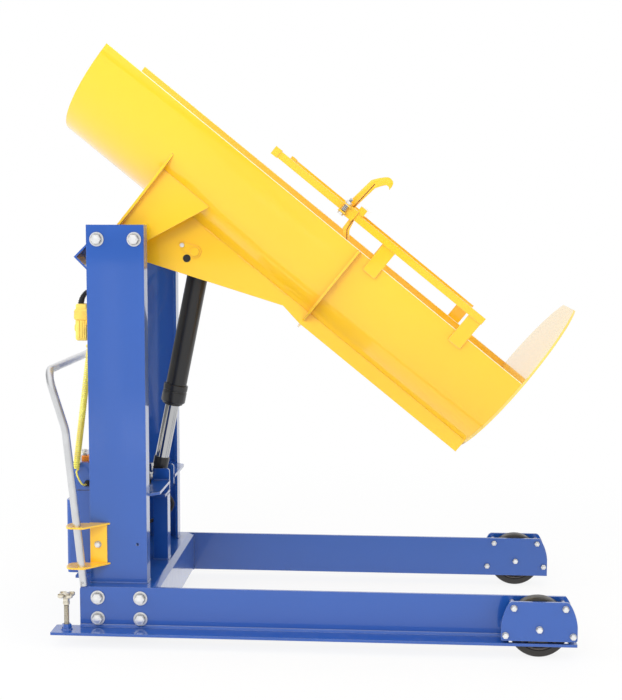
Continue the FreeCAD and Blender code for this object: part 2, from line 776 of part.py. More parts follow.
def build_chute():
    length = d.chute_up + d.chute_down
    outer = cylinder("shell_outer", shell_r, length, (-d.chute_up, 0, 0), "X", CHUTE, 180)
    inner = cylinder("shell_inner", d.chute_r, length + 2, (-d.chute_up - 1, 0, 0), "X", CHUTE)
    node(cut("chute_shell", outer, inner), "chute_shell")
    blank = cylinder("disc_blank", shell_r, d.disc_wall, (d.chute_down, 0, 0), "X", CHUTE)
    trim = box("disc_trim", (d.chute_down - 1, -400, d.disc_flat), (d.chute_down + 20, 400, 400), CHUTE)
    node(cut("base_disc", blank, trim), "base_disc")
    rib = cylinder("rib_blank", d.rib_r, d.rib_wall, (d.rib_at, 0, 0), "X", CHUTE, 180)
    side_out = d.side_in + d.side_wall
    low, high = d.rib_at - 1, d.rib_at + d.rib_wall + 1
    slots = [shell_tool("rib_seat", d.rib_at - 1, d.rib_wall + 2),
             box("rib_notch_gap", (low, -d.rib_notch, -400), (high, d.rib_notch, 0), CHUTE)]
    for sign in (-1, 1):
        middle = sign * (d.side_in + d.side_wall / 2)
        half = d.side_wall / 2 + d.seat_gap
        slots.append(box("rib_slot", (low, middle - half, -400), (high, middle + half, 0), CHUTE))
    node(cut("ring_rib", rib, *slots), "ring_rib")
    build_hinge_plates(side_out)


def build_hinge_plates(side_out):
    saddle_front = d.saddle_at + d.saddle_wall
    pivot = -d.axis_off
    pin_s, pin_h = lift_pin_spot()
    pieces = []
    for low in (-side_out, d.side_in):
        web = plate("side_web", "XZ", [
            (saddle_front, pivot + 59), (saddle_front, -250), (d.chute_down, -250), (d.chute_down, -shell_r),
            (d.rib_at, -shell_r), (574, -323), (60, -528), (d.hub_r * 0.2, pivot - d.hub_r * 0.98), (0, pivot),
        ], d.side_wall, (0, low, 0), frame=CHUTE)
        whole = fuse("side_whole", web, hub_disc("side_hub", low, d.side_wall))
        tools = [shell_tool("side_seat", -100, 1600)]
        for s, h, r in ((0, pivot, d.shaft_r), (pin_s, pin_h, d.pin_r), (pin_s - 8, pin_h - 37, 13.8)):
            tools.append(cylinder("side_hole", r, d.side_wall + 4, (s, low - 2, h), "Y", CHUTE))
        pieces.append(cut("side_plate", whole, *tools))
    node(group("side_plates", *pieces), "side_plates")
    ears = []
    ear_out = d.ear_in + d.ear_wall
    for low in (-ear_out, d.ear_in):
        web = plate("ear_web", "XZ", [
            (saddle_front, pivot + 59), (saddle_front, -150), (166, -150), (166, -217),
            (d.hub_r * 0.935, pivot - d.hub_r * 0.354), (0, pivot),
        ], d.ear_wall, (0, low, 0), frame=CHUTE)
        whole = fuse("ear_whole", web, hub_disc("ear_hub", low, d.ear_wall))
        ears.append(cut("hinge_ear", whole, shell_tool("ear_seat", -100, 400), cylinder(
            "ear_hole", d.shaft_r, d.ear_wall + 4, (0, low - 2, pivot), "Y", CHUTE)))
    node(group("hinge_ears", *ears), "hinge_ears")
    tab_in, tab_out, tab_low, tab_high = ear_out + 0.3, 286, pivot + 22, pivot + 115
    half = [(301, -147), (tab_out, tab_high), (tab_out, tab_low), (tab_in, tab_low), (tab_in, pivot + 62)]
    outline = half + [(-y, h) for y, h in reversed(half)]
    saddle = plate("saddle_blank", "YZ", outline, d.saddle_wall, (d.saddle_at, 0, 0), frame=CHUTE)
    node(cut("saddle_plate", saddle, shell_tool("saddle_seat", -100, 200)), "saddle_plate")
    shaft_out = d.upright_out - d.upright_web - 12
    shaft_in = d.side_in - 10
    stubs = [
        cylinder("pivot_stub", d.shaft_r, shaft_out - shaft_in, (0, low, pivot), "Y", CHUTE)
        for low in (-shaft_out, shaft_in)
    ]
    node(group("pivot_shafts", *stubs), "pivot_shafts")
    pin_out = side_out + 12
    pin = cylinder("pin_bar", d.pin_r, pin_out * 2, (pin_s, -pin_out, pin_h), "Y", CHUTE)
    head = cylinder("pin_head", d.pin_r + 6, 8, (pin_s, side_out, pin_h), "Y", CHUTE)
    node(fuse("cylinder_pin", pin, head), "cylinder_pin")
    keeper_low = -side_out - 6
    ring = cylinder("keeper_ring", d.pin_r + 6, 6, (pin_s, keeper_low, pin_h), "Y", CHUTE)
    lobe = cylinder("keeper_lobe", 12, 6, (pin_s - 49, keeper_low, pin_h - 10), "Y", CHUTE)
    bridge = plate("keeper_bridge", "XZ", [
        (pin_s - 4, pin_h + 21), (pin_s - 51, pin_h + 1), (pin_s - 47, pin_h - 21.5), (pin_s + 1, pin_h - 21),
    ], 6, (0, keeper_low, 0), frame=CHUTE)
    keeper = cut("keeper_plate", fuse("keeper_blank", ring, lobe, bridge),
                 cylinder("keeper_hole", d.pin_r, 10, (pin_s, keeper_low - 2, pin_h), "Y", CHUTE))
    screw = hexagon("keeper_screw", 13, 6, (pin_s - 49, keeper_low - 6, pin_h - 10), "Y", CHUTE)
    node(group("pin_keeper", keeper, screw), "pin_keeper")


# Drum clamp: rails along both rims, a sliding carriage and its hooked lever

def build_clamp():
    half = d.bar_wide / 2
    cap_half = d.bar_cap / 2
    middle = d.bar_low + half
    bars, posts = [], []
    for sign in (-1, 1):
        y = sign * d.bar_y
        bar = box("bar", (d.bar_start, y - half, d.bar_low),
                  (d.bar_end, y + half, d.bar_low + d.bar_wide), CHUTE)
        cap = box("bar_cap", (d.bar_start, y - cap_half, middle - cap_half),
                  (d.bar_start + 25, y + cap_half, middle + cap_half), CHUTE)
        hollow = box("bar_hollow", (d.bar_start + 25, y - half + 3, d.bar_low + 3),
                     (d.bar_end + 1, y + half - 3, d.bar_low + d.bar_wide - 3), CHUTE)
        bars.append(cut("clamp_bar", fuse("bar_whole", bar, cap), hollow))
        face = shell_r + d.seat_gap
        low = face if sign > 0 else -face - d.post_wall
        for start in (d.post_one, d.post_two):
            posts.append(box("clamp_post", (start, low, -d.post_drop),
                             (start + d.post_wide, low + d.post_wall, d.bar_low), CHUTE))
    node(group("clamp_bars", *bars), "clamp_bars")
    node(group("clamp_posts", *posts), "clamp_posts")
    build_carriage(middle)


def build_carriage(middle):
    room = d.bar_wide / 2 + d.sleeve_gap
    out = room + d.sleeve_wall
    end = d.sleeve_at + d.sleeve_long
    pieces, rooms = [], []
    for sign in (-1, 1):
        y = sign * d.bar_y
        pieces.append(box("sleeve", (d.sleeve_at, y - out, middle - out), (end, y + out, middle + out), CHUTE))
        rooms.append(box("sleeve_room", (d.sleeve_at - 1, y - room, middle - room),
                         (end + 1, y + room, middle + room), CHUTE))
    tube_low = middle + room + 1
    pieces.append(box("cross_tube", (end - 6, -d.bar_y - 10, tube_low),
                      (end + 20, d.bar_y + 10, tube_low + 26), CHUTE))
    near = -d.bar_y - out
    for low in (middle - 17, middle + 11):
        pieces.append(box("bolt_lug", (d.sleeve_at + 2, near - 22, low),
                          (d.sleeve_at + 28, near, low + 6), CHUTE))
    pin_low = out - d.bar_y
    pieces.append(cylinder("lever_pin", d.lever_pin_r, 30, (d.lever_s, pin_low, middle), "Y", CHUTE))
    bolt_s, bolt_y = d.sleeve_at + 15, near - 12
    rooms.append(cylinder("bolt_room", 6, 60, (bolt_s, bolt_y, middle - 30), "Z", CHUTE))
    node(cut("clamp_carriage", fuse("carriage_weldment", *pieces), *rooms), "clamp_carriage")
    screw = fuse(
        "clamp_bolt",
        cylinder("clamp_screw", 6, 66, (bolt_s, bolt_y, middle - 26), "Z", CHUTE),
        cylinder("clamp_spring", 8.5, 22, (bolt_s, bolt_y, middle - 11), "Z", CHUTE),
        hexagon("clamp_head", 19, 9, (bolt_s, bolt_y, middle - 26), "Z", CHUTE),
        hexagon("clamp_nut", 19, 10, (bolt_s, bolt_y, middle + 17), "Z", CHUTE),
    )
    node(screw, "clamp_bolt")
    build_lever(middle, pin_low)


def build_lever(middle, pin_low):
    s, wide = d.lever_s, 14
    low = pin_low + 0.5
    outline = [
        (s - wide, middle - 22), (s + 22, middle - 78), (s + 36, middle - 112), (s + 60, middle - 104),
        (s + 46, middle - 66), (s + wide, middle - 12), (s + wide - 4, middle + 116), (s + 24, middle + 138),
        (s + 40, middle + 126), (s + 54, middle + 140), (s + 42, middle + 166, 14), (s + 12, middle + 168, 14),
        (s - wide - 4, middle + 122), (s - wide, middle + 16),
    ]
    blank = plate("lever_blank", "XZ", outline, d.lever_wall * 2 + d.lever_slot, (0, low, 0), frame=CHUTE)
    gap = box("lever_gap", (s + 4, low + d.lever_wall, middle + 14),
              (s + 80, low + d.lever_wall + d.lever_slot, middle + 118), CHUTE)
    foot_gap = box("lever_foot_gap", (s + 10, low + d.lever_wall, middle - 120),
                   (s + 80, low + d.lever_wall + d.lever_slot, middle - 14), CHUTE)
    claw = box("lever_claw", (s + 38, low, middle - 108), (s + 46, low + 48, middle - 82), CHUTE)
    arm = cut("lever_arm", blank, gap, foot_gap, cylinder(
        "lever_hole", d.lever_pin_r + d.fit_gap, 40, (s, low - 5, middle), "Y", CHUTE))
    node(fuse("hook_lever", arm, claw), "hook_lever")


# Lift cylinder: barrel hung from the chute, rod standing in the cradle

def build_cylinder():
    eye_wide = d.eye_half * 2
    eye = cylinder("barrel_eye", d.eye_r, eye_wide, (0, -d.eye_half, 0), "Y", LIFT)
    neck = box("barrel_neck", (0, -20, -22), (d.barrel_start + 4, 20, 22), LIFT)
    tube = cylinder("barrel_tube", d.barrel_r, d.barrel_end - d.barrel_start, (d.barrel_start, 0, 0), "X", LIFT)
    room = cylinder("barrel_bore", d.bore_r, d.barrel_end, (d.barrel_start + 14, 0, 0), "X", LIFT)
    hole = cylinder("barrel_hole", d.pin_r + d.fit_gap, eye_wide + 4, (0, -d.eye_half - 2, 0), "Y", LIFT)
    node(cut("cylinder_barrel", fuse("barrel_whole", eye, neck, tube), room, hole), "cylinder_barrel")
    collar = cylinder("gland_collar", d.gland_r, d.gland_end - d.gland_start, (d.gland_start, 0, 0), "X", LIFT)
    seat = cylinder("gland_seat", d.barrel_r, d.barrel_end - d.gland_start, (d.gland_start, 0, 0), "X", LIFT)
    slide = cylinder("gland_bore", d.rod_r + d.fit_gap, 200, (d.gland_start, 0, 0), "X", LIFT)
    node(cut("cylinder_gland", collar, seat, slide), "cylinder_gland")
    piston = cylinder("piston", d.bore_r - d.fit_gap * 2, d.piston_long, (d.piston_at, 0, 0), "X", LIFT)
    rod = cylinder("rod_bar", d.rod_r, d.rod_cap_at - d.piston_at, (d.piston_at, 0, 0), "X", LIFT)
    node(fuse("cylinder_rod", piston, rod), "cylinder_rod")
    block = cylinder("rod_block", d.rod_cap_r, d.rod_cap_long, (d.rod_cap_at, 0, 0), "X", LIFT)
    tongue = box("rod_tongue", (d.rod_cap_at + 20, -20, -22), (LIFT_LENGTH, 20, 22), LIFT)
    eye_low = cylinder("rod_eye", d.eye_r - 4, 56, (LIFT_LENGTH, -28, 0), "Y", LIFT)
    pin_half = d.cheek_in + d.slot_deep - 0.5
    pin = cylinder("rod_pin", d.pin_r, pin_half * 2, (LIFT_LENGTH, -pin_half, 0), "Y", LIFT)
    node(fuse("rod_end", block, tongue, eye_low, pin), "rod_end")


# Cylinder stand: centre post, cheeks with open slots for the rod pin, flat arms to the uprights

def build_stand():
    wall = d.stand_wall
    post = cut(
        "stand_post",
        box("post_outer", (d.post_back, -d.post_half, leg_top), (d.post_front, d.post_half, d.stand_top)),
        box("post_inner", (d.post_back + wall, wall - d.post_half, leg_top),
            (d.post_front - wall, d.post_half - wall, d.stand_top)),
    )
    cheek_out = d.cheek_in + d.cheek_wall
    cap_top = d.stand_top + d.cap_wall
    cap = box("stand_cap", (d.cheek_back, -cheek_out, d.stand_top), (d.cheek_front - 16, cheek_out, cap_top))
    node(fuse("cylinder_stand", post, cap), "cylinder_stand")
    web = plate("cheek_web", "XZ", [
        (d.cheek_back, cap_top), (d.cheek_front - 16, cap_top), (d.cheek_front, cap_top + 22),
        (d.cheek_front, d.cheek_top, 10), (d.cheek_back, d.cheek_top, 10),
    ], d.cheek_wall, (0, -cheek_out, 0))
    slot_low = d.pivot_high + d.foot_z - d.slot_drop - d.pin_r
    slot = box("cheek_slot", (d.slot_back - d.pin_r, -d.cheek_in - d.slot_deep, slot_low),
               (d.slot_front + d.pin_r, 1 - d.cheek_in, d.cheek_top + 1))
    cheek = cut("right_cheek", web, slot)
    node(group("cradle_cheeks", cheek, mirror("left_cheek", cheek)), "cradle_cheeks")
    flange = d.upright_at + d.upright_half
    room = flange - d.upright_lip - 0.5
    face = d.upright_web - d.upright_out
    edge = d.upright_flange - d.upright_out + 0.2
    arm = plate("right_arm", "XY", [
        (d.deck_back, face), (room, face), (room, edge), (flange, edge), (d.deck_front, -d.deck_corner),
        (d.deck_front, -cheek_out), (d.deck_back, -cheek_out),
    ], d.deck_wall, (0, 0, d.deck_low))
    node(group("cradle_arms", arm, mirror("left_arm", arm)), "cradle_arms")


# Push handle in brackets on the outer faces of the uprights

def build_handle():
    y, back, top = val(d.handle_y), val(d.handle_back), val(d.handle_top)
    side = [V(-116, -y, 196), V(-172, -y, 738), V(back, -y, top)]
    path = side + [V(p.x, -p.y, p.z) for p in reversed(side)]
    bends = [160, 62]
    node(feature("push_handle", sweep(rounded_path(path, bends + bends[::-1]), val(d.handle_r))), "push_handle")
    face = -d.upright_out
    wall = d.bracket_wall
    back_plate = box("bracket_back", (-103.5, face - wall, d.bracket_low), (-44.5, face, d.bracket_high))
    shelves = []
    for z in (d.bracket_low, d.bracket_high - wall):
        shelves.append(plate("bracket_shelf", "XY", [
            (-34.5, face), (-108, face - 82), (-175, face - 82, 28), (-175, face - 8, 24), (-104.7, face - 8),
            (-104.7, face),
        ], wall, (0, 0, z)))
    start, knee = side[0], side[1]
    lean = (knee - start).normalize()
    hole = doc.addObject("Part::Cylinder", "handle_hole")
    bind(hole, "Radius", d.handle_r + 0.4)
    hole.Height = 400
    hole.Placement = BASE.multiply(FreeCAD.Placement(start, FreeCAD.Rotation(V(0, 0, 1), lean)))
    screw_hole = cylinder("bracket_screw_hole", d.bracket_bolt_r, 40,
                          (d.bracket_bolt_x, face - 20, d.bracket_bolt_z), "Y")
    right = cut("right_bracket", fuse("bracket_whole", back_plate, *shelves), hole, screw_hole)
    node(group("handle_brackets", right, mirror("left_bracket", right)), "handle_brackets")
    right_bolt = bolt("bracket_bolt", d.bracket_bolt_r, 18, 12, wall + d.upright_web,
                      (d.bracket_bolt_x, face - wall, d.bracket_bolt_z))
    node(group("bracket_bolts", right_bolt, mirror("left_bracket_bolt", right_bolt)), "bracket_bolts")


# Power unit on the shelf behind the uprights

def build_power_unit():
    shelf = leg_top
    case = box("battery_case", (d.battery_back, d.tank_right, shelf),
               (d.tank_front, d.tank_left, d.battery_step))
    cover = box("battery_cover", (d.battery_cover_back, d.tank_right, d.battery_step),
                (d.tank_front, d.tank_left, d.battery_top))
    node(fuse("battery_box", rounded("case_round", case, 14, upright_edge),
              rounded("cover_round", cover, 14, upright_edge)), "battery_box")
    rim = box("battery_lid", (d.tank_back + 2, d.tank_right + 4, d.battery_top),
              (d.tank_front - 2, d.tank_left - 4, d.tank_low))
    tank = box("tank_blank", (d.tank_back, d.tank_right, d.tank_low), (d.tank_front, d.tank_left, d.tank_top))
    latch_r = 12
    latch = cylinder("tank_latch", latch_r, 30,
                     (d.tank_back - 24, d.tank_right + 50, d.tank_low + latch_r), "X")
    node(fuse("pump_tank", rounded("tank_round", tank, 22, upright_edge), rim, latch), "pump_tank")
    cap_x, cap_y = -150, d.tank_right + 40
    vent_x = cap_x - 9
    cap_top = d.tank_top + 19
    cap = fuse(
        "tank_filler_cap",
        cylinder("cap_skirt", 20, 19, (cap_x, cap_y, d.tank_top)),
        cylinder("vent_neck", 7, 8, (vent_x, cap_y, cap_top)),
        hexagon("vent_body", 20, 14, (vent_x, cap_y, cap_top + 8)),
    )
    node(cap, "tank_filler_cap")
    motor_x, motor_z = -165, shelf + 70
    block_left = d.tank_left + 42
    block = box("valve_blank", (motor_x - 38, d.tank_left, motor_z - 45),
                (motor_x + 44, block_left, motor_z + 60))
    node(rounded("pump_valve_block", block, 3, upright_edge), "pump_valve_block")
    motor = fuse(
        "pump_motor",
        cylinder("motor_can", d.motor_r, d.motor_long - 30, (motor_x, block_left, motor_z), "Y"),
        cylinder("motor_end", d.motor_r - 6, d.motor_long - 10, (motor_x, block_left, motor_z), "Y"),
        box("motor_foot", (motor_x - 40, block_left + 30, shelf),
            (motor_x + 40, block_left + 120, motor_z - 40)),
    )
    node(motor, "pump_motor")
    build_hose(motor_x + 44, block_left - 20, motor_z + 30)


def build_hose(x, y, z):
    """The pressure hose: from the valve block, round behind the post, under the cap to the right cheek."""
    cheek = -val(d.cheek_in + d.cheek_wall)
    route = [
        V(val(x), val(y), val(z)), V(-60, val(y), val(z)), V(10, 96, val(z) + 8), V(78, 108, 328),
        V(112, 110, 366), V(92, 104, 408), V(44, 78, 416), V(4, 10, 412), V(14, -58, 416), V(46, -82, 462),
        V(48, -82, 526), V(48, cheek, 526),
    ]
    radii = easy_radii(route)
    print("hose radii", [round(r, 1) for r in radii])
    node(feature("pressure_hose", sweep(rounded_path(route, radii), val(d.hose_r))), "pressure_hose")


# Pendant control on its curly cord

def build_pendant():
    x, y, half = d.pendant_x, d.pendant_y, d.pendant_half
    top = d.pendant_low + d.pendant_high
    block = box("pendant_block", (x - half, y - half, d.pendant_low), (x + half, y + half, top))
    shell = rounded("pendant_round", block, 7, lambda edge: True)
    travel = 6
    wells = []
    for name, z in (("raise", d.pendant_low + 84), ("lower", d.pendant_low + 44)):
        wells.append(cylinder(f"{name}_well", d.button_r + 0.3, 14, (x - half - 1, y, z), "X"))
        head = cylinder(f"{name}_head", d.button_r, 12, (x - half - travel, y, z), "X")
        node(rounded(f"{name}_button", head, 1.5, lambda edge: edge.Closed), f"{name}_button")
    node(cut("pendant_shell", shell, *wells), "pendant_shell")
    lean = V(0.447, 0, 0.894)
    boot = cut("pendant_boot", cone("boot_cone", 12, 6, 58, (x, y, top - 4), lean),
               box("boot_seat", (x - 40, y - 40, top - 30), (x + 40, y + 40, top)))
    node(boot, "pendant_boot")
    rear = d.upright_at - d.upright_half
    hanger = box("pendant_hanger", (x + half, -330, d.pendant_low + 60), (rear, y + 14, d.pendant_low + 86))
    node(hanger, "pendant_hanger")
    gland = fuse(
        "cord_gland",
        hexagon("gland_nut", 20, 12, (GLAND.x, d.tank_right - 12, GLAND.z), "Y"),
        cylinder("gland_dome", 8, 25, (GLAND.x, d.tank_right - 25, GLAND.z), "Y"),
    )
    node(gland, "cord_gland")
    tip = V(val(x), val(y), val(top) - 4) + lean.normalize() * 58
    build_cord(tip, lean, V(GLAND.x, val(d.tank_right) - 25, GLAND.z))


GLAND = V(-140, 0, 517)
COIL_TOP = V(-118, -250, 1008)
COIL_END = V(-175, -250, 572)


def coil_nodes():
    """Points and headings of the curls, one for every quarter turn."""
    along = COIL_END - COIL_TOP
    length = along.Length
    along.normalize()
    side = V(0, 1, 0)
    front = side.cross(along)
    turns = int(val(d.coil_turns))
    rise = length / turns
    nodes = []
    for i in range(4 * turns + 3):
        angle = math.pi / 2 * i
        spoke = front * math.cos(angle) + side * math.sin(angle)
        run = side * math.cos(angle) - front * math.sin(angle)
        heading = run * val(d.coil_r) + along * (rise / (2 * math.pi))
        nodes.append((COIL_TOP + along * (rise * i / 4) + spoke * val(d.coil_r), heading.normalize()))
    return nodes


def biarc(start, heading, end, last_heading):
    """Two arcs that join two points with given headings."""
    chord = end - start
    both = heading + last_heading
    spread = 2 * (1 - heading.dot(last_heading))
    reach = chord.dot(both)
    arm = (math.sqrt(reach * reach + spread * chord.dot(chord)) - reach) / spread
    joint = (start + end + (heading - last_heading) * arm) * 0.5
    return [tangent_arc(start, heading, joint), tangent_arc(end, last_heading * -1, joint, True)]


def tangent_arc(start, heading, end, turned=False):
    """The arc from a point along a heading to another point."""
    chord = end - start
    way = V(chord).normalize()
    quarter = heading.getAngle(way) / 2
    middle = start + (heading + way).normalize() * (chord.Length / (2 * math.cos(quarter)))
    if turned:
        return Part.Arc(end, middle, start).toShape()
    return Part.Arc(start, middle, end).toShape()


def build_cord(tip, lean, gland):
    """One unbroken cord: lead from the pendant, curls, lead into the gland."""
    nodes = coil_nodes()
    first, first_way = nodes[0]
    last, last_way = nodes[-1]
    lead = [tip, tip + lean * 34, V(-60, -273, 1236), V(-56, -270, 1170), V(-66, -272, 1100),
            first - first_way * 30 + V(40, 0, 30), first - first_way * 30, first]
    tail = [last, last + last_way * 48, gland + V(0, -48, 0), gland]
    edges = rounded_path(lead, easy_radii(lead))
    for (a, way_a), (b, way_b) in zip(nodes, nodes[1:]):
        edges += biarc(a, way_a, b, way_b)
    edges += rounded_path(tail, easy_radii(tail))
    print("cord lead radii", [round(r, 1) for r in easy_radii(lead)])
    print("cord tail radii", [round(r, 1) for r in easy_radii(tail)])
    print("cord length", round(sum(edge.Length for edge in edges), 1))
    report_gap([p for p, way in nodes])
    node(feature("curly_cord", sweep(edges, val(d.cord_r))), "curly_cord")


def report_gap(points):
    """Print the least gap of the curls to themselves, on points a turn or so apart."""
    count = len(points)
    pairs = [(i, j) for i in range(count) for j in range(i + 3, min(i + 7, count))]
    least = min((points[i] - points[j]).Length for i, j in pairs)
    print("curl gap", round(least - 2 * val(d.cord_r), 2))


def write_parts():
    """Check every object, then write one STEP file for each sub-part."""
    doc.recompute()
    for obj in doc.Objects:
        if "Invalid" in obj.State or "Error" in obj.State:
            raise RuntimeError(f"{obj.Label} failed: {obj.State}")
    for obj in NODES:
        if obj.Shape.isNull() or not obj.Shape.isValid():
            raise RuntimeError(f"{obj.Label} has no valid shape")
    os.makedirs("parts", exist_ok=True)
    for obj in NODES:
        obj.Shape.exportStep(f"parts/{obj.Label}.step")
    print(len(NODES), "sub-parts written")


for build in (
    build_legs, build_base, build_uprights, build_bearings, build_wheels, build_casters, build_locks, build_chute,
    build_clamp, build_cylinder, build_stand, build_handle, build_power_unit, build_pendant,
):
    build()
write_parts()
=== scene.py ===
"""Looks of a drum tipper: finishes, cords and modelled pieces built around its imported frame."""
import json
import math

import bmesh
import bpy
from bpy.props import FloatProperty, FloatVectorProperty, IntProperty, PointerProperty
from mathutils import Matrix, Vector

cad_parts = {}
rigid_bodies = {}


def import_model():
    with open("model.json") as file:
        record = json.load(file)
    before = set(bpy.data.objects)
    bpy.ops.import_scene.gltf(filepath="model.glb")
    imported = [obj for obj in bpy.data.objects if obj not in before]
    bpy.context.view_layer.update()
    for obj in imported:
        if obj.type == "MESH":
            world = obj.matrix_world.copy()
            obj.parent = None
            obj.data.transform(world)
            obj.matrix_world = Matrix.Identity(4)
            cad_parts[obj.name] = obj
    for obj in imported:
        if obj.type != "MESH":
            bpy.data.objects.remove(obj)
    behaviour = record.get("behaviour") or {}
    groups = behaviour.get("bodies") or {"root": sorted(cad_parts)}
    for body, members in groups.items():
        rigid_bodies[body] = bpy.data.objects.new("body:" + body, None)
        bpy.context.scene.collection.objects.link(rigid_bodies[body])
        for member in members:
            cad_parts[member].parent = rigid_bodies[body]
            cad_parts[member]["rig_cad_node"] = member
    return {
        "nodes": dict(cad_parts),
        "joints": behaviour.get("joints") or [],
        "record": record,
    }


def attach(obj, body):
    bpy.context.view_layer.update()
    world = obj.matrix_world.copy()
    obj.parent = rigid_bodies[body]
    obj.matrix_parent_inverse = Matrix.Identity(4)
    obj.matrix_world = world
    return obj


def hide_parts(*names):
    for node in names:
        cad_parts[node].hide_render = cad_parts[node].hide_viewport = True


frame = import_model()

bl_info = {
    "name": "Drum Tipper Looks",
    "version": (1, 0, 0),
    "blender": (4, 5, 0),
    "location": "3D View > Sidebar > Tipper",
    "description": "Builds the finishes, cords and fine pieces of a hydraulic drum tipper",
    "category": "Object",
}

for leftover in [o for o in bpy.data.objects if "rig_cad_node" not in o and not o.name.startswith("body:")]:
    bpy.data.objects.remove(leftover)
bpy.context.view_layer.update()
NODES = frame["nodes"]
JOINTS = {joint["name"]: joint for joint in frame["joints"]}
PIVOT = Vector(JOINTS["chute_tilt"]["pos_m"])
SIDES = {"right": -1, "left": 1}
AHEAD, LEFT, UP = (Vector(axis) for axis in ((1, 0, 0), (0, 1, 0), (0, 0, 1)))
MM = 0.001
MERGE = 1e-6  # metres within which vertices become one
SHARP = 38  # degrees past which an edge is shaded sharp
IMAGE_HIGH = 700  # pixels
UPRIGHT_FACE = -0.345  # metres across, where the near upright mirrors the room

# Millimetres
AXIS_OUT = 489.8  # from the tilt pivot out to the axis of the chute
CHUTE_INSIDE = 330.2  # radius of the chute
WEB_AT = 398.5  # from the middle to the outer faces of the leg webs
PLATE_AT = 476  # from the middle to the outer faces of the wheel plates
WHEEL_AT = 1427.5  # from the tilt pivot ahead to the front axles
WHEEL_RADIUS = 101.6
RIPPLE = 2.4  # from one ripple of a weld to the next

TILT = math.radians(39.07)
CHUTE_WAY = AHEAD * math.cos(TILT) - UP * math.sin(TILT)
CHUTE_OUT = AHEAD * math.sin(TILT) + UP * math.cos(TILT)
CHUTE_AXIS = PIVOT + CHUTE_OUT * AXIS_OUT * MM

DUST = (0.62, 0.60, 0.55)
GREY_DUST = (0.50, 0.48, 0.45)
# Pale tone that paints a highlight along enamel edges
EDGE_HIGHLIGHT_TONE = (1.0, 0.97, 0.90)
# Tone of the painted shade in the corners of the chute's enamel
CORNER_SHADE_AMBER = (0.96, 0.40, 0.004)
# Tone of the painted shade in the corners of the disc's enamel
DISC_CORNER_SHADE = (0.97, 0.44, 0.004)


def colour(name, words, default):
    """A colour that a user may change."""
    return FloatVectorProperty(name=name, description=words, default=default, subtype="COLOR", min=0, max=1)


def number(name, words, default, **more):
    """A number that a user may change."""
    return FloatProperty(name=name, description=words, default=default, **more)


def length(name, words, default):
    """A length in metres that a user may change."""
    return number(name, words, default, min=0, unit="LENGTH", precision=5)


class TipperColours(bpy.types.PropertyGroup):
    """Colours of the finishes."""

    blue: colour("Frame blue", "Enamel of the legs, base and uprights", (0.010, 0.086, 0.400))
    yellow: colour("Chute yellow", "Enamel of the chute, clamp and brackets", (1.000, 0.575, 0.007))
    # Painted light: this paler yellow paints the bright light on the disc's face; the disc's own enamel is the
    # chute yellow
    disc: colour("Disc yellow", "Chute yellow made paler to paint the light on the end disc", (0.960, 0.680, 0.110))
    # Painted highlight: this pale tone paints the bright line along the chute's rims
    edge: colour("Rim highlight", "Pale enamel that paints a highlight along the rims of the chute", (1.000, 0.920, 0.640))
    zinc: colour("Zinc", "Plated bolts, forks and shafts", (0.930, 0.932, 0.930))
    gilt: colour("Gilt zinc", "Yellow-passivated screws of the floor locks", (0.860, 0.800, 0.660))
    casting: colour("Casting", "Bearing housings and feet", (0.160, 0.160, 0.170))
    black: colour("Black enamel", "Lift cylinder and motor", (0.009, 0.009, 0.010))
    chrome: colour("Chrome", "Cylinder rod", (0.470, 0.475, 0.485))
    tyre: colour("Tyre", "Wheel treads", (0.030, 0.027, 0.024))
    hub: colour("Wheel hub", "Moulded wheel centres", (0.115, 0.098, 0.085))
    tube: colour("Handle tube", "Satin tube of the push handle", (0.800, 0.810, 0.825))
    pendant: colour("Pendant", "Pendant case", (0.950, 0.660, 0.130))
    cord: colour("Cord", "Jacket of the curly cord", (1.000, 0.840, 0.150))
    rubber: colour("Rubber", "Boots, hose and buttons", (0.022, 0.022, 0.023))
    cap: colour("Filler cap", "Cap of the oil tank", (0.850, 0.280, 0.030))


class TipperSizes(bpy.types.PropertyGroup):
    """Sizes of the modelled pieces."""

    cord_thick: length("Cord", "Diameter of the curly cord's jacket", 0.0063)
    curl_radius: length("Curl radius", "Radius of the curly cord's curls at the middle of the jacket", 0.0088)
    curls: number("Curls", "Turns of the curly cord", 60.5, min=1)
    curl_points: IntProperty(name="Curl points", description="Route points in each curl", default=12, min=12)
    hose_thick: length("Hose", "Diameter of the pressure hose", 0.014)
    weld: length("Weld", "Width of the weld beads", 0.007)
    edge: length("Edge", "Softness of the painted edges", 0.0022)


class TipperStage(bpy.types.PropertyGroup):
    """Camera and light."""

    camera_at: FloatVectorProperty(
        name="Camera", description="Place of the camera", default=(0.2783, -4.6663, 1.4483),
        subtype="XYZ", unit="LENGTH"
    )
    yaw: number("Yaw", "Turn of the camera towards the back of the machine", 0.06705, subtype="ANGLE")
    pitch: number("Pitch", "Downward tilt of the camera", 0.10024, subtype="ANGLE")
    roll: number("Roll", "Roll of the camera", 0.00224, subtype="ANGLE")
    focal: number("Focal length", "Focal length in pixels of the image", 1289.48)
    centre: FloatVectorProperty(
        name="Lens centre", description="Pixels from the image centre to the lens axis",
        default=(-3.31, -0.66), size=2
    )
    ambient: number("Ambient", "Strength of the even light of the room", 0.74, min=0)
    gap_at: number("Strip", "Sideways slope of the bright strip that the uprights mirror", 0.2224)
    gap_wide: number("Strip width", "Width of that strip, as a slope", 0.009)
    shaded: number("Shaded side", "Brightness of the far room in front of the machine", 0.10, min=0)
    flanks: number("Flanks", "Brightness of the room at both sides of the machine", 0.30, min=0)


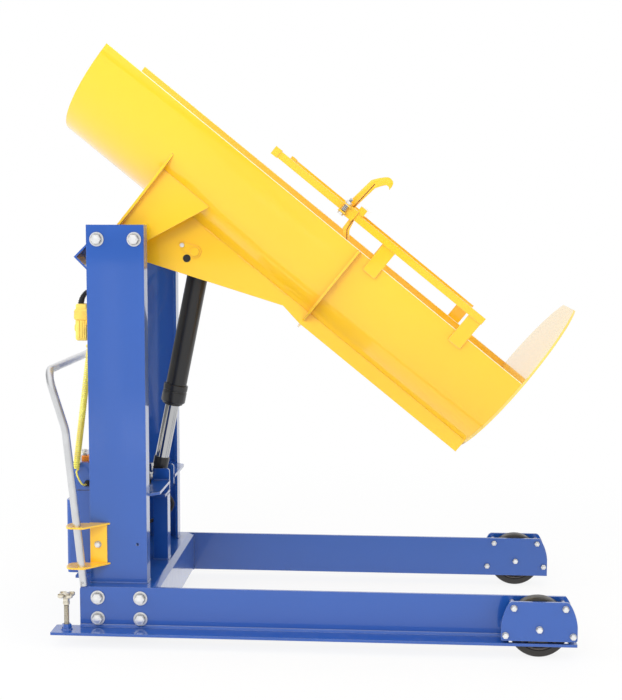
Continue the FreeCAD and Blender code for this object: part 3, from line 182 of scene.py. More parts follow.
class Value:
    """One output in a node tree: arithmetic on it adds Math nodes."""

    def __init__(self, tree, socket):
        self.tree = tree
        self.socket = socket

    def math(self, operation, first, second):
        return self.tree.node("ShaderNodeMath", {"operation": operation}, {0: first, 1: second})

    def __add__(self, other):
        return self.math("ADD", self, other)

    def __sub__(self, other):
        return self.math("SUBTRACT", self, other)

    def __rsub__(self, other):
        return self.math("SUBTRACT", other, self)

    def __mul__(self, other):
        return self.math("MULTIPLY", self, other)

    def __truediv__(self, other):
        return self.math("DIVIDE", self, other)

    def __abs__(self):
        return self.math("ABSOLUTE", self, 0.0)

    __radd__ = __add__
    __rmul__ = __mul__

    def between(self, low, high):
        """0 below low, 1 above high, and a smooth step from one to the other."""
        settings = {"interpolation_type": "SMOOTHSTEP"}
        return self.tree.node("ShaderNodeMapRange", settings, {"Value": self, "From Min": low, "From Max": high})


class Tree:
    """A node tree: every node comes from one method, which gives its output as a value."""

    def __init__(self, owner):
        owner.use_nodes = True
        self.tree = owner.node_tree

    def node(self, kind, settings=(), inputs=(), output=0):
        """Adds a node: its settings are set first, then the values or links of its sockets."""
        made = self.tree.nodes.new(kind)
        for name, value in dict(settings).items():
            setattr(made, name, value)
        for name, value in dict(inputs).items():
            self.join(value, made.inputs[name])
        return Value(self, made.outputs[output])

    def join(self, value, socket):
        if isinstance(value, Value):
            self.tree.links.new(value.socket, socket)
        else:
            socket.default_value = value

    def path(self, kind):
        """1 for light of one kind, such as what the camera sees."""
        return self.node("ShaderNodeLightPath", output=f"Is {kind} Ray")

    def part(self, vector, axis):
        """One coordinate of a vector."""
        return self.node("ShaderNodeSeparateXYZ", {}, {"Vector": vector}, axis)

    def mix(self, factor, first, second):
        """A colour between two others."""
        first, second = (c if isinstance(c, Value) else (*c, 1.0) for c in (first, second))
        return self.node("ShaderNodeMix", {"data_type": "RGBA"}, {0: factor, 6: first, 7: second}, 2)


class Finish(Tree):
    """A material whose shader is fed by node expressions."""

    def __init__(self, name, **constants):
        self.material = bpy.data.materials.new(name)
        super().__init__(self.material)
        self.shader = self.tree.nodes["Principled BSDF"]
        for socket, value in constants.items():
            self.shader.inputs[socket.replace("_", " ")].default_value = value
        self.place = self.node("ShaderNodeTexCoord", output="Object")

    def noise(self, scale, detail=2.0, roughness=0.5):
        """Cloudy values from about 0.3 to 0.7, at so many patches to the metre."""
        inputs = {"Vector": self.place, "Scale": scale, "Detail": detail, "Roughness": roughness}
        return self.node("ShaderNodeTexNoise", {}, inputs)

    def upward(self):
        """1 where the surface faces up, 0 where it stands or faces down."""
        normal = self.node("ShaderNodeNewGeometry", output="Normal")
        return self.part(normal, "Z").between(0.55, 0.95)

    def soft_edges(self):
        """A normal that rounds the edges off."""
        edge = bpy.context.scene.tipper_sizes.edge
        return self.node("ShaderNodeBevel", {"samples": 4}, {"Radius": edge})

    def edges(self, soft):
        """1 along the edges that the soft normal rounds off, 0 away from them."""
        real = self.node("ShaderNodeNewGeometry", output="True Normal")
        alike = self.node("ShaderNodeVectorMath", {"operation": "DOT_PRODUCT"}, {0: soft, 1: real}, "Value")
        return 1 - alike.between(0.75, 0.985)

    def corners(self, reach):
        """How far the surroundings close in on the surface: 0 in the open, near 1 in a tight corner."""
        return 1 - self.node("ShaderNodeAmbientOcclusion", {"samples": 4}, {"Distance": reach}, "AO")

    def bump(self, height, strength, depth, under=None):
        """Puts relief on the surface, over any relief already there."""
        inputs = {"Height": height, "Strength": strength, "Distance": depth}
        if under:
            inputs["Normal"] = under
        return self.node("ShaderNodeBump", {}, inputs)

    def feed(self, **sockets):
        """Joins values to the shader's sockets and returns the material."""
        for socket, value in sockets.items():
            self.join(value, self.shader.inputs[socket.replace("_", " ")])
        return self.material


def shade(tone, by):
    """A colour made darker or lighter."""
    return tuple(min(1.0, channel * by) for channel in tone)


def enamel(name, tone, corner_shade_tone, gloss=0.24, peel=0.12, coat=1.0, sheen=0.05, index=1.5, edge_highlight=0.2):
    """Sprayed gloss enamel: orange peel, a painted highlight along edges, painted shade in corners, dust on what
    faces up.
    """
    finish = Finish(name, Coat_Roughness=sheen, IOR=index, Coat_IOR=index)
    soft = finish.soft_edges()
    cloud = finish.noise(1.7, 1.0).between(0.35, 0.65)
    mottle = finish.noise(38.0, 3.0)
    grit = finish.noise(420.0, 1.0)
    dust = finish.upward() * finish.noise(26.0, 5.0, 0.65).between(0.45, 0.75) * 0.05
    body = finish.mix(cloud, shade(tone, 0.97), shade(tone, 1.03))
    body = finish.mix(grit.between(0.5, 0.75) * 0.10, body, shade(tone, 1.25))
    body = finish.mix(dust, body, DUST)
    # Painted shade: corners that ambient occlusion finds are mixed towards the darker corner tone
    body = finish.mix(finish.corners(0.045).between(0.2, 0.8) * 0.6, body, corner_shade_tone)
    # Painted highlight: edges that the soft normal rounds off are mixed towards a pale tone
    body = finish.mix(finish.edges(soft) * edge_highlight, body, EDGE_HIGHLIGHT_TONE)
    ripple = finish.bump(finish.noise(230.0, 1.5), peel, 0.0009, soft)
    return finish.feed(
        Base_Color=body, Roughness=gloss + mottle * 0.12 + dust, Coat_Weight=coat - dust * 3.0, Normal=ripple
    )


def plated(name, tone, gloss=0.34):
    """Zinc plate: pale metal with faint clouding and fine turning marks, with painted shade in its corners."""
    finish = Finish(name, Metallic=0.85)
    cloud = finish.noise(55.0, 3.0).between(0.35, 0.7)
    fine = finish.noise(900.0, 2.0)
    body = finish.mix(cloud, shade(tone, 0.93), shade(tone, 1.04))
    # Painted shade: corners that ambient occlusion finds are mixed towards a much darker zinc
    body = finish.mix(finish.corners(0.012).between(0.08, 0.5) * 0.85, body, shade(tone, 0.16))
    return finish.feed(
        Base_Color=body, Roughness=gloss + cloud * 0.10, Normal=finish.bump(fine, 0.02, 0.0003)
    )


def cast(name, tone):
    """Painted casting with a grainy skin."""
    finish = Finish(name, Specular_IOR_Level=0.4)
    grain = finish.noise(360.0, 4.0, 0.6)
    cloud = finish.noise(20.0, 3.0).between(0.35, 0.65)
    body = finish.mix(cloud, shade(tone, 0.8), shade(tone, 1.2))
    return finish.feed(Base_Color=body, Roughness=0.5 + grain * 0.2, Normal=finish.bump(grain, 0.35, 0.0008))


def chromed(name, tone):
    """Hard chrome with hair-fine polishing marks."""
    finish = Finish(name, Metallic=1.0)
    marks = finish.noise(700.0, 2.0)
    smear = finish.noise(9.0, 3.0).between(0.4, 0.7)
    return finish.feed(
        Base_Color=finish.mix(smear, tone, shade(tone, 0.92)), Roughness=0.09 + smear * 0.04,
        Normal=finish.bump(marks, 0.004, 0.0002)
    )


def moulded(name, tone, gloss=0.45, grain=0.18, scale=520.0, corner_shade_strength=0.6):
    """Moulded plastic or rubber with a fine texture, slight clouding and painted shade in its corners."""
    finish = Finish(name, Specular_IOR_Level=0.45)
    skin = finish.noise(scale, 2.0)
    cloud = finish.noise(14.0, 3.0).between(0.35, 0.65)
    dust = finish.upward() * finish.noise(40.0, 4.0).between(0.45, 0.8) * 0.15
    body = finish.mix(cloud, shade(tone, 0.88), shade(tone, 1.1))
    body = finish.mix(dust, body, GREY_DUST)
    # Painted shade: corners that ambient occlusion finds are mixed towards a darker tone
    body = finish.mix(finish.corners(0.008).between(0.15, 0.7) * corner_shade_strength, body, shade(tone, 0.5))
    return finish.feed(Base_Color=body, Roughness=gloss + cloud * 0.12, Normal=finish.bump(skin, grain, 0.0005))


def satin_tube(name, tone):
    """Satin tube with fine grinding grain and handling smudges."""
    finish = Finish(name, Metallic=1.0)
    marks = finish.noise(260.0, 3.0)
    smudge = finish.noise(12.0, 4.0).between(0.42, 0.7)
    body = finish.mix(smudge, shade(tone, 0.92), shade(tone, 1.06))
    return finish.feed(
        Base_Color=body, Roughness=0.32 + smudge * 0.12, Normal=finish.bump(marks, 0.04, 0.0004)
    )


class Finishes:
    """The machine's materials, made once and kept by name; most are named for the record's slots."""

    made = {}

    @classmethod
    def make(cls):
        tones = bpy.context.scene.tipper_colours
        cls.made = {
            # Each enamel's third argument is the tone of the painted shade in its corners
            "blue_paint": enamel("blue_enamel", tones.blue, shade(tones.blue, 0.5), 0.26, 0.03),
            "yellow_paint": enamel("yellow_enamel", tones.yellow, CORNER_SHADE_AMBER, 0.26, 0.03, sheen=0.06, edge_highlight=0.25),
            # Painted light: the disc's enamel is a paler copy of the chute yellow, lit brighter
            "disc_paint": enamel(
                "disc_lightened_enamel", tones.disc, DISC_CORNER_SHADE, 0.26, 0.01, sheen=0.06, index=1.62, edge_highlight=0.4
            ),
            # Painted highlight: a pale enamel for the chute's rim edges
            "rim_highlight_enamel": enamel("rim_highlight_enamel", tones.edge, tones.yellow, 0.3, 0.02),
            "zinc_steel": plated("zinc_plate", tones.zinc),
            "gilt_steel": plated("gilt_zinc_plate", tones.gilt),
            "cast_grey": cast("grey_casting", tones.casting),
            "black_paint": enamel("black_enamel", tones.black, tones.black, 0.30, 0.05, 0.2, edge_highlight=0.02),
            "chrome": chromed("hard_chrome", tones.chrome),
            "wheel_rubber": moulded("tyre_rubber", tones.tyre, 0.32, 0.2, 300.0),
            "wheel_hub": moulded("hub_plastic", tones.hub, 0.42, 0.15, 400.0),
            "handle_tube": satin_tube("satin_tube", tones.tube),
            "pendant_plastic": moulded("pendant_plastic", tones.pendant, 0.38, 0.12),
            "black_rubber": moulded("black_rubber", tones.rubber, 0.5, 0.2),
            "cord_plastic": moulded("cord_jacket", tones.cord, 0.4, 0.06, corner_shade_strength=0.12),
            "button_plastic": moulded("button_plastic", tones.rubber, 0.4, 0.1),
            "cap_plastic": moulded("cap_plastic", tones.cap, 0.35, 0.1),
        }


def machine(x, y, z):
    """A point in metres, from millimetres ahead of the tilt pivot, to the left and above the floor."""
    return Vector((PIVOT.x + x * MM, y * MM, z * MM))


BOOT_TIP = machine(-111.1, -275, 1205.9)
LIFT_PIN = machine(242, 0, 1336)
VALVE_PORT = machine(-121, 82, 292)


def chute(s, y, h):
    """A point in metres, from millimetres down the chute, to the left and out from its axis."""
    return CHUTE_AXIS + (CHUTE_WAY * s + LEFT * y + CHUTE_OUT * h) * MM


def aimed(at, axis=UP):
    """The place of a shape whose Z points along an axis."""
    lean = UP.rotation_difference(Vector(axis)).to_matrix().to_4x4()
    return Matrix.Translation(at) @ lean


def framed(at, *axes):
    """The place of a shape whose X, Y and Z point along three axes."""
    return Matrix.Translation(at) @ Matrix(axes).transposed().to_4x4()


def on_chute(s, y, h):
    """The place of a shape whose X runs down the chute and whose Z points out of it."""
    return framed(chute(s, y, h), CHUTE_WAY, LEFT, CHUTE_OUT)


def upright_on_chute(s, y, h):
    """The place of a plate whose outline lies along and out of the chute, with its thickness to the left."""
    return framed(chute(s, y, h), CHUTE_WAY, CHUTE_OUT, LEFT)


def around(radius, turn):
    """A point of a circle about the origin."""
    return radius * math.cos(turn), radius * math.sin(turn)


def raised(place, by):
    """A place moved along its own Z, by millimetres."""
    return place @ Matrix.Translation((0, 0, by * MM))


def ring(inner, outer, low, high):
    """The profile of a plain ring or tube."""
    return [(inner, low), (outer, low), (outer, high), (inner, high), (inner, low)]


def both_sides(half):
    """A closed profile from the half of it that lies below zero height."""
    return half + [(radius, -high) for radius, high in reversed(half)] + half[:1]


def turned(profile, steps=32):
    """A round shape: a profile of (radius, height) in millimetres spun about Z."""
    bm = bmesh.new()
    verts = [bm.verts.new((radius * MM, 0, high * MM)) for radius, high in profile]
    edges = [bm.edges.new(pair) for pair in zip(verts, verts[1:])]
    bmesh.ops.spin(
        bm, geom=verts + edges, cent=(0, 0, 0), axis=(0, 0, 1), angle=2 * math.pi, steps=steps, use_merge=True
    )
    return bm


def prism(outline, high, soft=0.0):
    """A plate: an outline of (x, y) in millimetres raised along Z, its edges rounded."""
    bm = bmesh.new()
    face = bm.faces.new([bm.verts.new((x * MM, y * MM, 0)) for x, y in outline])
    lifted = bmesh.ops.extrude_face_region(bm, geom=[face])["geom"]
    top = [part for part in lifted if isinstance(part, bmesh.types.BMVert)]
    bmesh.ops.translate(bm, vec=(0, 0, high * MM), verts=top)
    return softened(bm, bm.edges[:], soft)


def softened(bm, edges, soft, segments=2):
    """Rounds edges off by a radius in millimetres."""
    if soft:
        bmesh.ops.bevel(
            bm, geom=edges, offset=soft * MM, offset_type="OFFSET", affect="EDGES", segments=segments,
            profile=0.5, material=-1
        )
    return bm


def rounded(bm, corners, radius, segments=6):
    """Rounds a plate off at some corners of its outline."""
    spots = [Vector((x, y)) * MM for x, y in corners]
    standing = [
        edge for edge in bm.edges
        if any(all((vert.co.xy - spot).length < MERGE for vert in edge.verts) for spot in spots)
    ]
    return softened(bm, standing, radius, segments)


def block(low, high, soft=1.0, segments=2):
    """A block between two corners in millimetres, with rounded edges."""
    bm = bmesh.new()
    bmesh.ops.create_cube(bm, size=1)
    low, high = Vector(low), Vector(high)
    bmesh.ops.scale(bm, vec=(high - low) * MM, verts=bm.verts)
    bmesh.ops.translate(bm, vec=(low + high) / 2 * MM, verts=bm.verts)
    return softened(bm, bm.edges[:], soft, segments)


def hexagon(across, high, soft=0.9):
    """A bolt head or nut, by its width across the flats, with its top edges broken."""
    corner = across / 2 / math.cos(math.radians(30))
    bm = prism([around(corner, i * math.pi / 3) for i in range(6)], high)
    top = [e for e in bm.edges if all(v.co.z > high * MM / 2 for v in e.verts)]
    return softened(bm, top, soft, 1)


def threaded(radius, low, high, pitch, steps=20):
    """A screw thread between two heights, as close ridges."""
    depth = pitch * 0.45
    profile = [(0, low)]
    ridges = int((high - low) / pitch)
    for i in range(ridges):
        profile += [(radius - depth, low + i * pitch), (radius, low + (i + 0.5) * pitch)]
    profile += [(radius - depth, low + ridges * pitch), (radius - depth, high), (0, high)]
    return turned(profile, steps)


def placed(name, data, body, slot, finish=None):
    """Makes the object of a mesh or curve, with its finish, and lets it ride on a body."""
    data.materials.append(Finishes.made[finish or slot])
    piece = bpy.data.objects.new(name, data)
    bpy.context.scene.collection.objects.link(piece)
    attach(piece, body)
    return piece


class Piece:
    """A mesh being put together, which ends as one object that rides on a body."""

    def __init__(self):
        self.bm = bmesh.new()

    def add(self, shape, place=Matrix()):
        """Merges a shape's doubles, puts it in its place and turns its faces outwards."""
        bmesh.ops.remove_doubles(shape, verts=shape.verts, dist=MERGE)
        bmesh.ops.transform(shape, matrix=place, verts=shape.verts)
        bmesh.ops.recalc_face_normals(shape, faces=shape.faces)
        held = bpy.data.meshes.new("held")
        shape.to_mesh(held)
        shape.free()
        self.bm.from_mesh(held)
        bpy.data.meshes.remove(held)

    def end(self, name, body, slot, nodes=(), finish=None):
        """Makes the object, and hides the CAD nodes that it stands for."""
        mesh = bpy.data.meshes.new(name)
        self.bm.to_mesh(mesh)
        self.bm.free()
        mesh.shade_smooth()
        mesh.set_sharp_from_angle(angle=math.radians(SHARP))
        piece = placed(name, mesh, body, slot, finish)
        if nodes:
            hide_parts(*nodes)


def round_curve(name, thick, facets):
    """A curve with a round section and closed ends."""
    curve = bpy.data.curves.new(name, "CURVE")
    curve.dimensions = "3D"
    curve.bevel_depth = thick / 2
    curve.bevel_resolution = facets
    curve.use_fill_caps = True
    return curve


def cord_curve(name, points, thick, material, body):
    """A cord: one smooth spline that follows the route, with a round section."""
    curve = round_curve(name, thick, 3)
    spline = curve.splines.new("NURBS")
    spline.points.add(len(points) - 1)
    for point, at in zip(spline.points, points):
        point.co = (*at, 1.0)
    spline.order_u = 3
    spline.use_endpoint_u = True
    spline.resolution_u = 3
    return placed(name, curve, body, material)


class TIPPER_OT_stage(bpy.types.Operator):
    """Make the pale floor, the even room light, the soft lamps and the camera"""

    bl_idname = "tipper.stage"
    bl_label = "Stage"

    def execute(self, context):
        self.make_camera(context)
        self.make_floor(context)
        self.make_room(context)
        self.make_lamps(context)
        context.scene.view_settings.view_transform = "Standard"
        return {"FINISHED"}

    def make_camera(self, context):
        """A camera at the photograph's place, with its lens and framing."""
        stage = context.scene.tipper_stage
        lens = bpy.data.cameras.new("photo_camera")
        lens.sensor_width = 36
        lens.lens = stage.focal * lens.sensor_width / IMAGE_HIGH
        lens.shift_x = -stage.centre[0] / IMAGE_HIGH
        lens.shift_y = stage.centre[1] / IMAGE_HIGH
        lens.clip_end = 90
        camera = bpy.data.objects.new("photo_camera", lens)
        place = Matrix.Translation(Vector(stage.camera_at))
        for angle, axis in ((stage.yaw, "Z"), (math.pi / 2 - stage.pitch, "X"), (stage.roll, "Z")):
            place = place @ Matrix.Rotation(angle, 4, axis)
        camera.matrix_world = place
        context.scene.collection.objects.link(camera)
        context.scene.camera = camera

    def make_floor(self, context):
        """A wide pale floor that keeps a light shadow."""
        bm = bmesh.new()
        bmesh.ops.create_grid(bm, x_segments=1, y_segments=1, size=40)
        mesh = bpy.data.meshes.new("floor")
        bm.to_mesh(mesh)
        bm.free()
        floor = bpy.data.objects.new("floor", mesh)
        context.scene.collection.objects.link(floor)
        pale = Finish("pale_floor", Base_Color=(0.9, 0.9, 0.9, 1), Roughness=0.9)
        glow = pale.node("ShaderNodeEmission", {}, {"Color": (1, 1, 1, 1)})
        away = pale.node("ShaderNodeVectorMath", {"operation": "LENGTH"}, {0: pale.place}, "Value")
        white = 0.86 + away.between(1.0, 3.2) * 0.14
        seen = (pale.path("Camera") + pale.path("Transmission")) * white
        seen = seen + pale.path("Glossy") * self.mirrored_floor(context, pale)
        matt = Value(pale, pale.shader.outputs[0])
        mixed = pale.node("ShaderNodeMixShader", {}, {0: seen, 1: matt, 2: glow})
        pale.join(mixed, pale.tree.nodes["Material Output"].inputs[0])
        mesh.materials.append(pale.material)

    def mirrored_floor(self, context, pale):
        """How bright mirrors see the floor: full, but dark far off at both sides of one bright strip."""
        stage = context.scene.tipper_stage
        across, ahead = (pale.part(pale.place, axis) for axis in "XY")
        mirrored_camera = 2 * UPRIGHT_FACE - stage.camera_at[1]
        slope = (across - stage.camera_at[0]) / (ahead - mirrored_camera)
        beside = abs(slope - stage.gap_at)
        dark = beside.between(stage.gap_wide / 2, stage.gap_wide) * (1 - beside.between(0.04, 0.07))
        far = 1 - ahead.between(-4.4, -3.2)
        return 1 - far * dark * (1 - stage.shaded)

    def make_room(self, context):
        """Even white light from all round; mirrors see it darker at the sides and low down in front."""
        stage = context.scene.tipper_stage
        world = bpy.data.worlds.new("white_room")
        room = Tree(world)
        way = room.node("ShaderNodeTexCoord", output="Generated")
        across, ahead, high = (room.part(way, axis) for axis in "XYZ")
        bright = 1 - (1 - ahead.between(-0.85, -0.15)) * (1 - high.between(-0.02, 0.04))
        flank = abs(across).between(0.55, 0.9)
        mirrored = (stage.shaded + bright * (1 - stage.shaded)) * (1 - flank * (1 - stage.flanks))
        seen = room.path("Camera") + room.path("Transmission")
        light = stage.ambient + seen * (1 - stage.ambient) + room.path("Glossy") * (mirrored - stage.ambient)
        background = world.node_tree.nodes["Background"]
        background.inputs["Color"].default_value = (1, 1, 1, 1)
        room.join(light, background.inputs["Strength"])
        context.scene.world = world

    def make_lamps(self, context):
        """Soft lamps: overhead, at the front, one each side and one behind."""
        lamps = {
            "top_softbox": ((0.2, -0.6, 4.6), (0.0, 0.0, 0.9), (4.0, 4.0), 24),
            "front_softbox": ((-1.4, -5.4, 3.4), (0.0, 0.0, 0.9), (3.2, 2.0), 124),
            "right_softbox": ((4.6, -1.2, 2.2), (0.0, 0.0, 1.0), (2.4, 2.4), 45),
            "left_softbox": ((-4.4, -1.2, 2.4), (0.0, 0.0, 1.0), (2.4, 2.4), 64),
            "back_softbox": ((0.6, 5.2, 3.0), (0.0, 0.0, 1.0), (3.0, 3.0), 26),
        }
        for name, (at, aim, size, power) in lamps.items():
            light = bpy.data.lights.new(name, "AREA")
            light.shape = "RECTANGLE"
            light.size, light.size_y = size
            light.energy = power
            lamp = bpy.data.objects.new(name, light)
            lamp.location = at
            lamp.rotation_euler = (Vector(aim) - Vector(at)).to_track_quat("-Z", "Y").to_euler()
            lamp.visible_glossy = False
            context.scene.collection.objects.link(lamp)


class TIPPER_OT_curly_cord(bpy.types.Operator):
    """Make the pendant's curly cord, from the boot down to the gland on the oil tank"""

    bl_idname = "tipper.curly_cord"
    bl_label = "Curly Cord"

    def execute(self, context):
        sizes = context.scene.tipper_sizes
        lean = Vector((0.447, 0, 0.894))
        top = machine(-118, -250, 1008)
        bottom = machine(-175, -250, 572)
        gland = machine(-140, -250, 517)
        along = (bottom - top).normalized()
        front = LEFT.cross(along)
        steps = round(sizes.curls * sizes.curl_points)
        spread = sizes.curl_radius / math.cos(math.pi / sizes.curl_points)
        coil = []
        for step in range(steps + 1):
            angle = 2 * math.pi * step / sizes.curl_points
            spoke = front * math.cos(angle) + LEFT * math.sin(angle)
            coil.append(top.lerp(bottom, step / steps) + spoke * spread)
        first, last = coil[0], coil[-1]
        lead_in = first - LEFT * 30 * MM
        aside = LEFT * 48 * MM
        lead = [
            BOOT_TIP, BOOT_TIP + lean * 34 * MM, machine(-60, -273, 1236), machine(-56, -270, 1170),
            machine(-66, -272, 1100), lead_in + Vector((40, 0, 30)) * MM, lead_in,
        ]
        tail = [last - aside, gland - aside, gland]
        piece = cord_curve("pendant_cord", lead + coil + tail, sizes.cord_thick, "cord_plastic", "base")
        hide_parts("curly_cord")
        return {"FINISHED"}


class TIPPER_OT_hose(bpy.types.Operator):
    """Make the pressure hose from the valve block to the cheek at the foot of the lift cylinder"""

    bl_idname = "tipper.hose"
    bl_label = "Pressure Hose"

    def execute(self, context):
        thick = context.scene.tipper_sizes.hose_thick
        route = [
            VALVE_PORT, machine(-60, 82, 292), machine(10, 96, 300), machine(78, 108, 328),
            machine(112, 110, 366), machine(92, 104, 408), machine(44, 78, 416), machine(4, 10, 412),
            machine(14, -64, 414), machine(52, -84, 456), machine(57, -80, 540),
        ]
        piece = cord_curve("lift_hose", route, thick, "black_rubber", "base")
        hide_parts("pressure_hose")
        return {"FINISHED"}


def bolt(piece, at, outward, thread, head, washer, grip):
    """A hex bolt through a plate: washer and head outside, nut and thread end inside."""
    place = aimed(at, outward)
    rim, thick, high = 0.8, 3, head * 0.5
    crown, tip = thick + high, -grip - high
    piece.add(turned([
        (thread, 0), (washer - rim, 0), (washer, rim), (washer, thick - rim), (washer - rim, thick),
        (thread, thick), (thread, 0),
    ], 40), place)
    piece.add(hexagon(head, high), raised(place, thick))
    dome = [(0, crown + 0.8), (head * 0.36, crown + 0.8), (head * 0.45, crown - 1), (0, crown - 1)]
    piece.add(turned(dome), place)
    piece.add(turned([(0, 1), (thread, 1), (thread, tip), (thread - 1, tip - 3), (0, tip - 3)]), place)
    piece.add(hexagon(head, high), raised(place, -grip) @ Matrix.Rotation(math.pi, 4, "X"))


def wheel(name, body, node, place, tyre, hub, steps, ribs=0):
    """A wheel about its Z: a tyre that stands for the node, and a hub with any ribs."""
    tread, centre = Piece(), Piece()
    tread.add(turned(both_sides(tyre), steps[0]), place)
    tread.end(f"{name}_tyre", body, "wheel_rubber", [node])
    centre.add(turned(both_sides(hub), steps[1]), place)
    for rib in range(ribs):
        turn = Matrix.Rotation(rib * 2 * math.pi / ribs, 4, "Z")
        centre.add(block((25, -2.6, -18), (70, 2.6, 18), 1.2), place @ turn)
    centre.end(f"{name}_hub", body, "wheel_rubber", finish="wheel_hub")


class TIPPER_OT_bolts(bpy.types.Operator):
    """Make the hex bolts of the legs, bearings and handle brackets, with washers and nuts"""

    bl_idname = "tipper.bolts"
    bl_label = "Bolts"

    def execute(self, context):
        spots = {
            "leg_bolts": ([(x, WEB_AT, z) for x in (-69, 79) for z in (81.5, 154.5)], 9.5, 30, 24.5, 19),
            "bearing_bolts": ([(x, 346, 1381) for x in (-68, 60)], 8, 30, 24.5, 22),
            "bracket_bolts": ([(-76, 352, 329)], 6, 18, 12, 14),
        }
        for node, (places, thread, head, washer, grip) in spots.items():
            piece = Piece()
            for side in SIDES.values():
                for x, y, z in places:
                    bolt(piece, machine(x, side * y, z), LEFT * side, thread, head, washer, grip)
            piece.end(f"{node}_set", "base", "zinc_steel", [node])
        return {"FINISHED"}


class TIPPER_OT_front_wheels(bpy.types.Operator):
    """Make the front wheels with ribbed hubs, and their axles and plate bolts"""

    bl_idname = "tipper.front_wheels"
    bl_label = "Front Wheels"

    def execute(self, context):
        tyre = [(76, -22), (79, -25), (93, -25.4), (98.5, -23.5), (101, -19), (WHEEL_RADIUS, -13)]
        hub = [(10.2, -25), (24, -25), (26, -23.5), (29, -10), (66, -8), (71, -22), (76, -23.5)]
        fasteners = Piece()
        for name, side in SIDES.items():
            out = LEFT * side
            place = aimed(machine(WHEEL_AT, side * 432.5, WHEEL_RADIUS), out)
            wheel(name, f"{name}_wheel", f"{name}_front_wheel", place, tyre, hub, (72, 60), 12)
            for way in (-1, 1):
                for half, z in ((84.7, 173), (111, 80)):
                    at = machine(WHEEL_AT + way * half, side * PLATE_AT, z)
                    bolt(fasteners, at, out, 6, 18, 11, 87)
                    fasteners.add(turned(ring(6, 8, -77.4, -9.6)), aimed(at, out))
            at = machine(WHEEL_AT, side * PLATE_AT, WHEEL_RADIUS)
            bolt(fasteners, at, out, 8.5, 19, 11.5, 87)
            for start, end in ((-9.6, -17.7), (-69.3, -77.4)):
                collar = [(8.5, start), (18.5, start), (20, start - 1.5), (20, end), (8.5, end), (8.5, start)]
                fasteners.add(turned(collar), aimed(at, out))
        fasteners.end("wheel_bolts", "base", "zinc_steel", ["wheel_fasteners"])
        return {"FINISHED"}


class TIPPER_OT_leg_ends(bpy.types.Operator):
    """Make the bowed plates outboard of the front wheels and the bowed ends of the leg webs"""

    bl_idname = "tipper.leg_ends"
    bl_label = "Leg Ends"

    def execute(self, context):
        wall, web_wall, bend = 9.5, 9.1, 44
        low, shoulder, bow, top = 61, 92, 150, 192
        back, front = WHEEL_AT - 125.5, WHEEL_AT + 125.5
        top_back, top_front = WHEEL_AT - 96, WHEEL_AT + 96
        plates, ends = Piece(), Piece()
        for side in SIDES.values():
            foot = [(back, low), (front, low)]
            bows = [(front, bow), (back, bow)]
            crest = [(top_front, top + 2), (top_back, top + 2)]
            sheet = rounded(prism([*foot, bows[0], *crest, bows[1]], wall), bows, bend, 10)
            sheet = rounded(rounded(sheet, foot, 6), crest, 8)
            plates.add(sheet, self.standing(side * (PLATE_AT - wall / 2), wall))
            outline = [
                (top_front - 20, top - 14), (top_front, top), (front, bow),
                (front, shoulder), (front - 20, shoulder),
            ]
            end = rounded(prism(outline, web_wall), [(front, bow)], bend, 10)
            ends.add(end, self.standing(side * (WEB_AT - wall / 2), web_wall))
        plates.end("bowed_plates", "base", "blue_paint", ["wheel_plates"])
        ends.end("bowed_leg_ends", "base", "blue_paint")
        return {"FINISHED"}

    def standing(self, y, wall):
        """The place of a plate whose outline lies ahead and up, with its middle so far to the left."""
        return framed(machine(0, y - wall / 2, 0), AHEAD, UP, LEFT)


class TIPPER_OT_casters(bpy.types.Operator):
    """Make the swivel casters' wheels and axle nuts"""

    bl_idname = "tipper.casters"
    bl_label = "Casters"

    def execute(self, context):
        tyre = [(44, -15), (46, -17.2), (57, -17.5), (61.5, -15), (63.2, -10), (63.5, -5)]
        hub = [(6.4, -17), (14, -17), (16, -15.5), (18, -8), (38, -7), (42, -15), (44, -16)]
        for name, side in SIDES.items():
            x, y, radius = -52, side * 250, 63.5
            place = aimed(machine(x, y, radius), LEFT * side)
            wheel(f"{name}_caster", f"{name}_caster_roller", f"{name}_caster_wheel", place, tyre, hub, (56, 40))
            nuts = Piece()
            for way in (-1, 1):
                nuts.add(hexagon(17, 5.5, 0.6), aimed(machine(x, y + way * 24.7, radius), LEFT * way))
            nuts.end(f"{name}_axle_nuts", f"{name}_caster", "zinc_steel")
        return {"FINISHED"}


class TIPPER_OT_floor_locks(bpy.types.Operator):
    """Make the threaded floor-lock screws with their four-lobed knobs and welded nuts"""

    bl_idname = "tipper.floor_locks"
    bl_label = "Floor Locks"

    def execute(self, context):
        stem = [
            (0, 139), (9.5, 139), (11.5, 141), (11.5, 150), (10.4, 151.5), (10.4, 153), (11.5, 154.5),
            (11.5, 165), (14.5, 167), (15, 172), (15, 176), (13, 179), (7, 180), (0, 180),
        ]
        lobe = [
            (0, 172.5), (6, 172.8), (9.6, 175), (11.2, 178), (12.2, 177.4), (12.5, 174), (11.8, 169.5),
            (9.5, 166.8), (5, 166), (0, 166),
        ]
        nut = [(10.9, 52.5), (17, 52.5), (17, 69), (15, 72.5), (10.9, 72.5), (10.9, 52.5)]
        bead = [(16.5, 52.5), (21, 52.6), (19, 55.4), (16.5, 58), (16.5, 52.5)]
        nuts = Piece()
        for name, side in SIDES.items():
            x, y = -168.5, side * 437
            place = aimed(machine(x, y, 0))
            screw = Piece()
            screw.add(threaded(9, 63.5, 141, 2.5), place)
            screw.add(turned(ring(4.3, 8.2, 53.3, 64), 20), place)
            screw.add(turned(stem, 28), place)
            for quarter in range(4):
                ahead, aside = around(20, math.radians(45 + 90 * quarter))
                screw.add(turned(lobe, 24), aimed(machine(x + ahead, y + aside, 0)))
            screw.end(f"{name}_knob_screw", f"{name}_screw", "zinc_steel", [f"{name}_lock_screw"], "gilt_steel")
            nuts.add(turned(nut, 6), place)
            nuts.add(turned(bead, 36), place)
        nuts.end("lock_nut_pair", "base", "blue_paint", ["lock_nuts"])
        return {"FINISHED"}


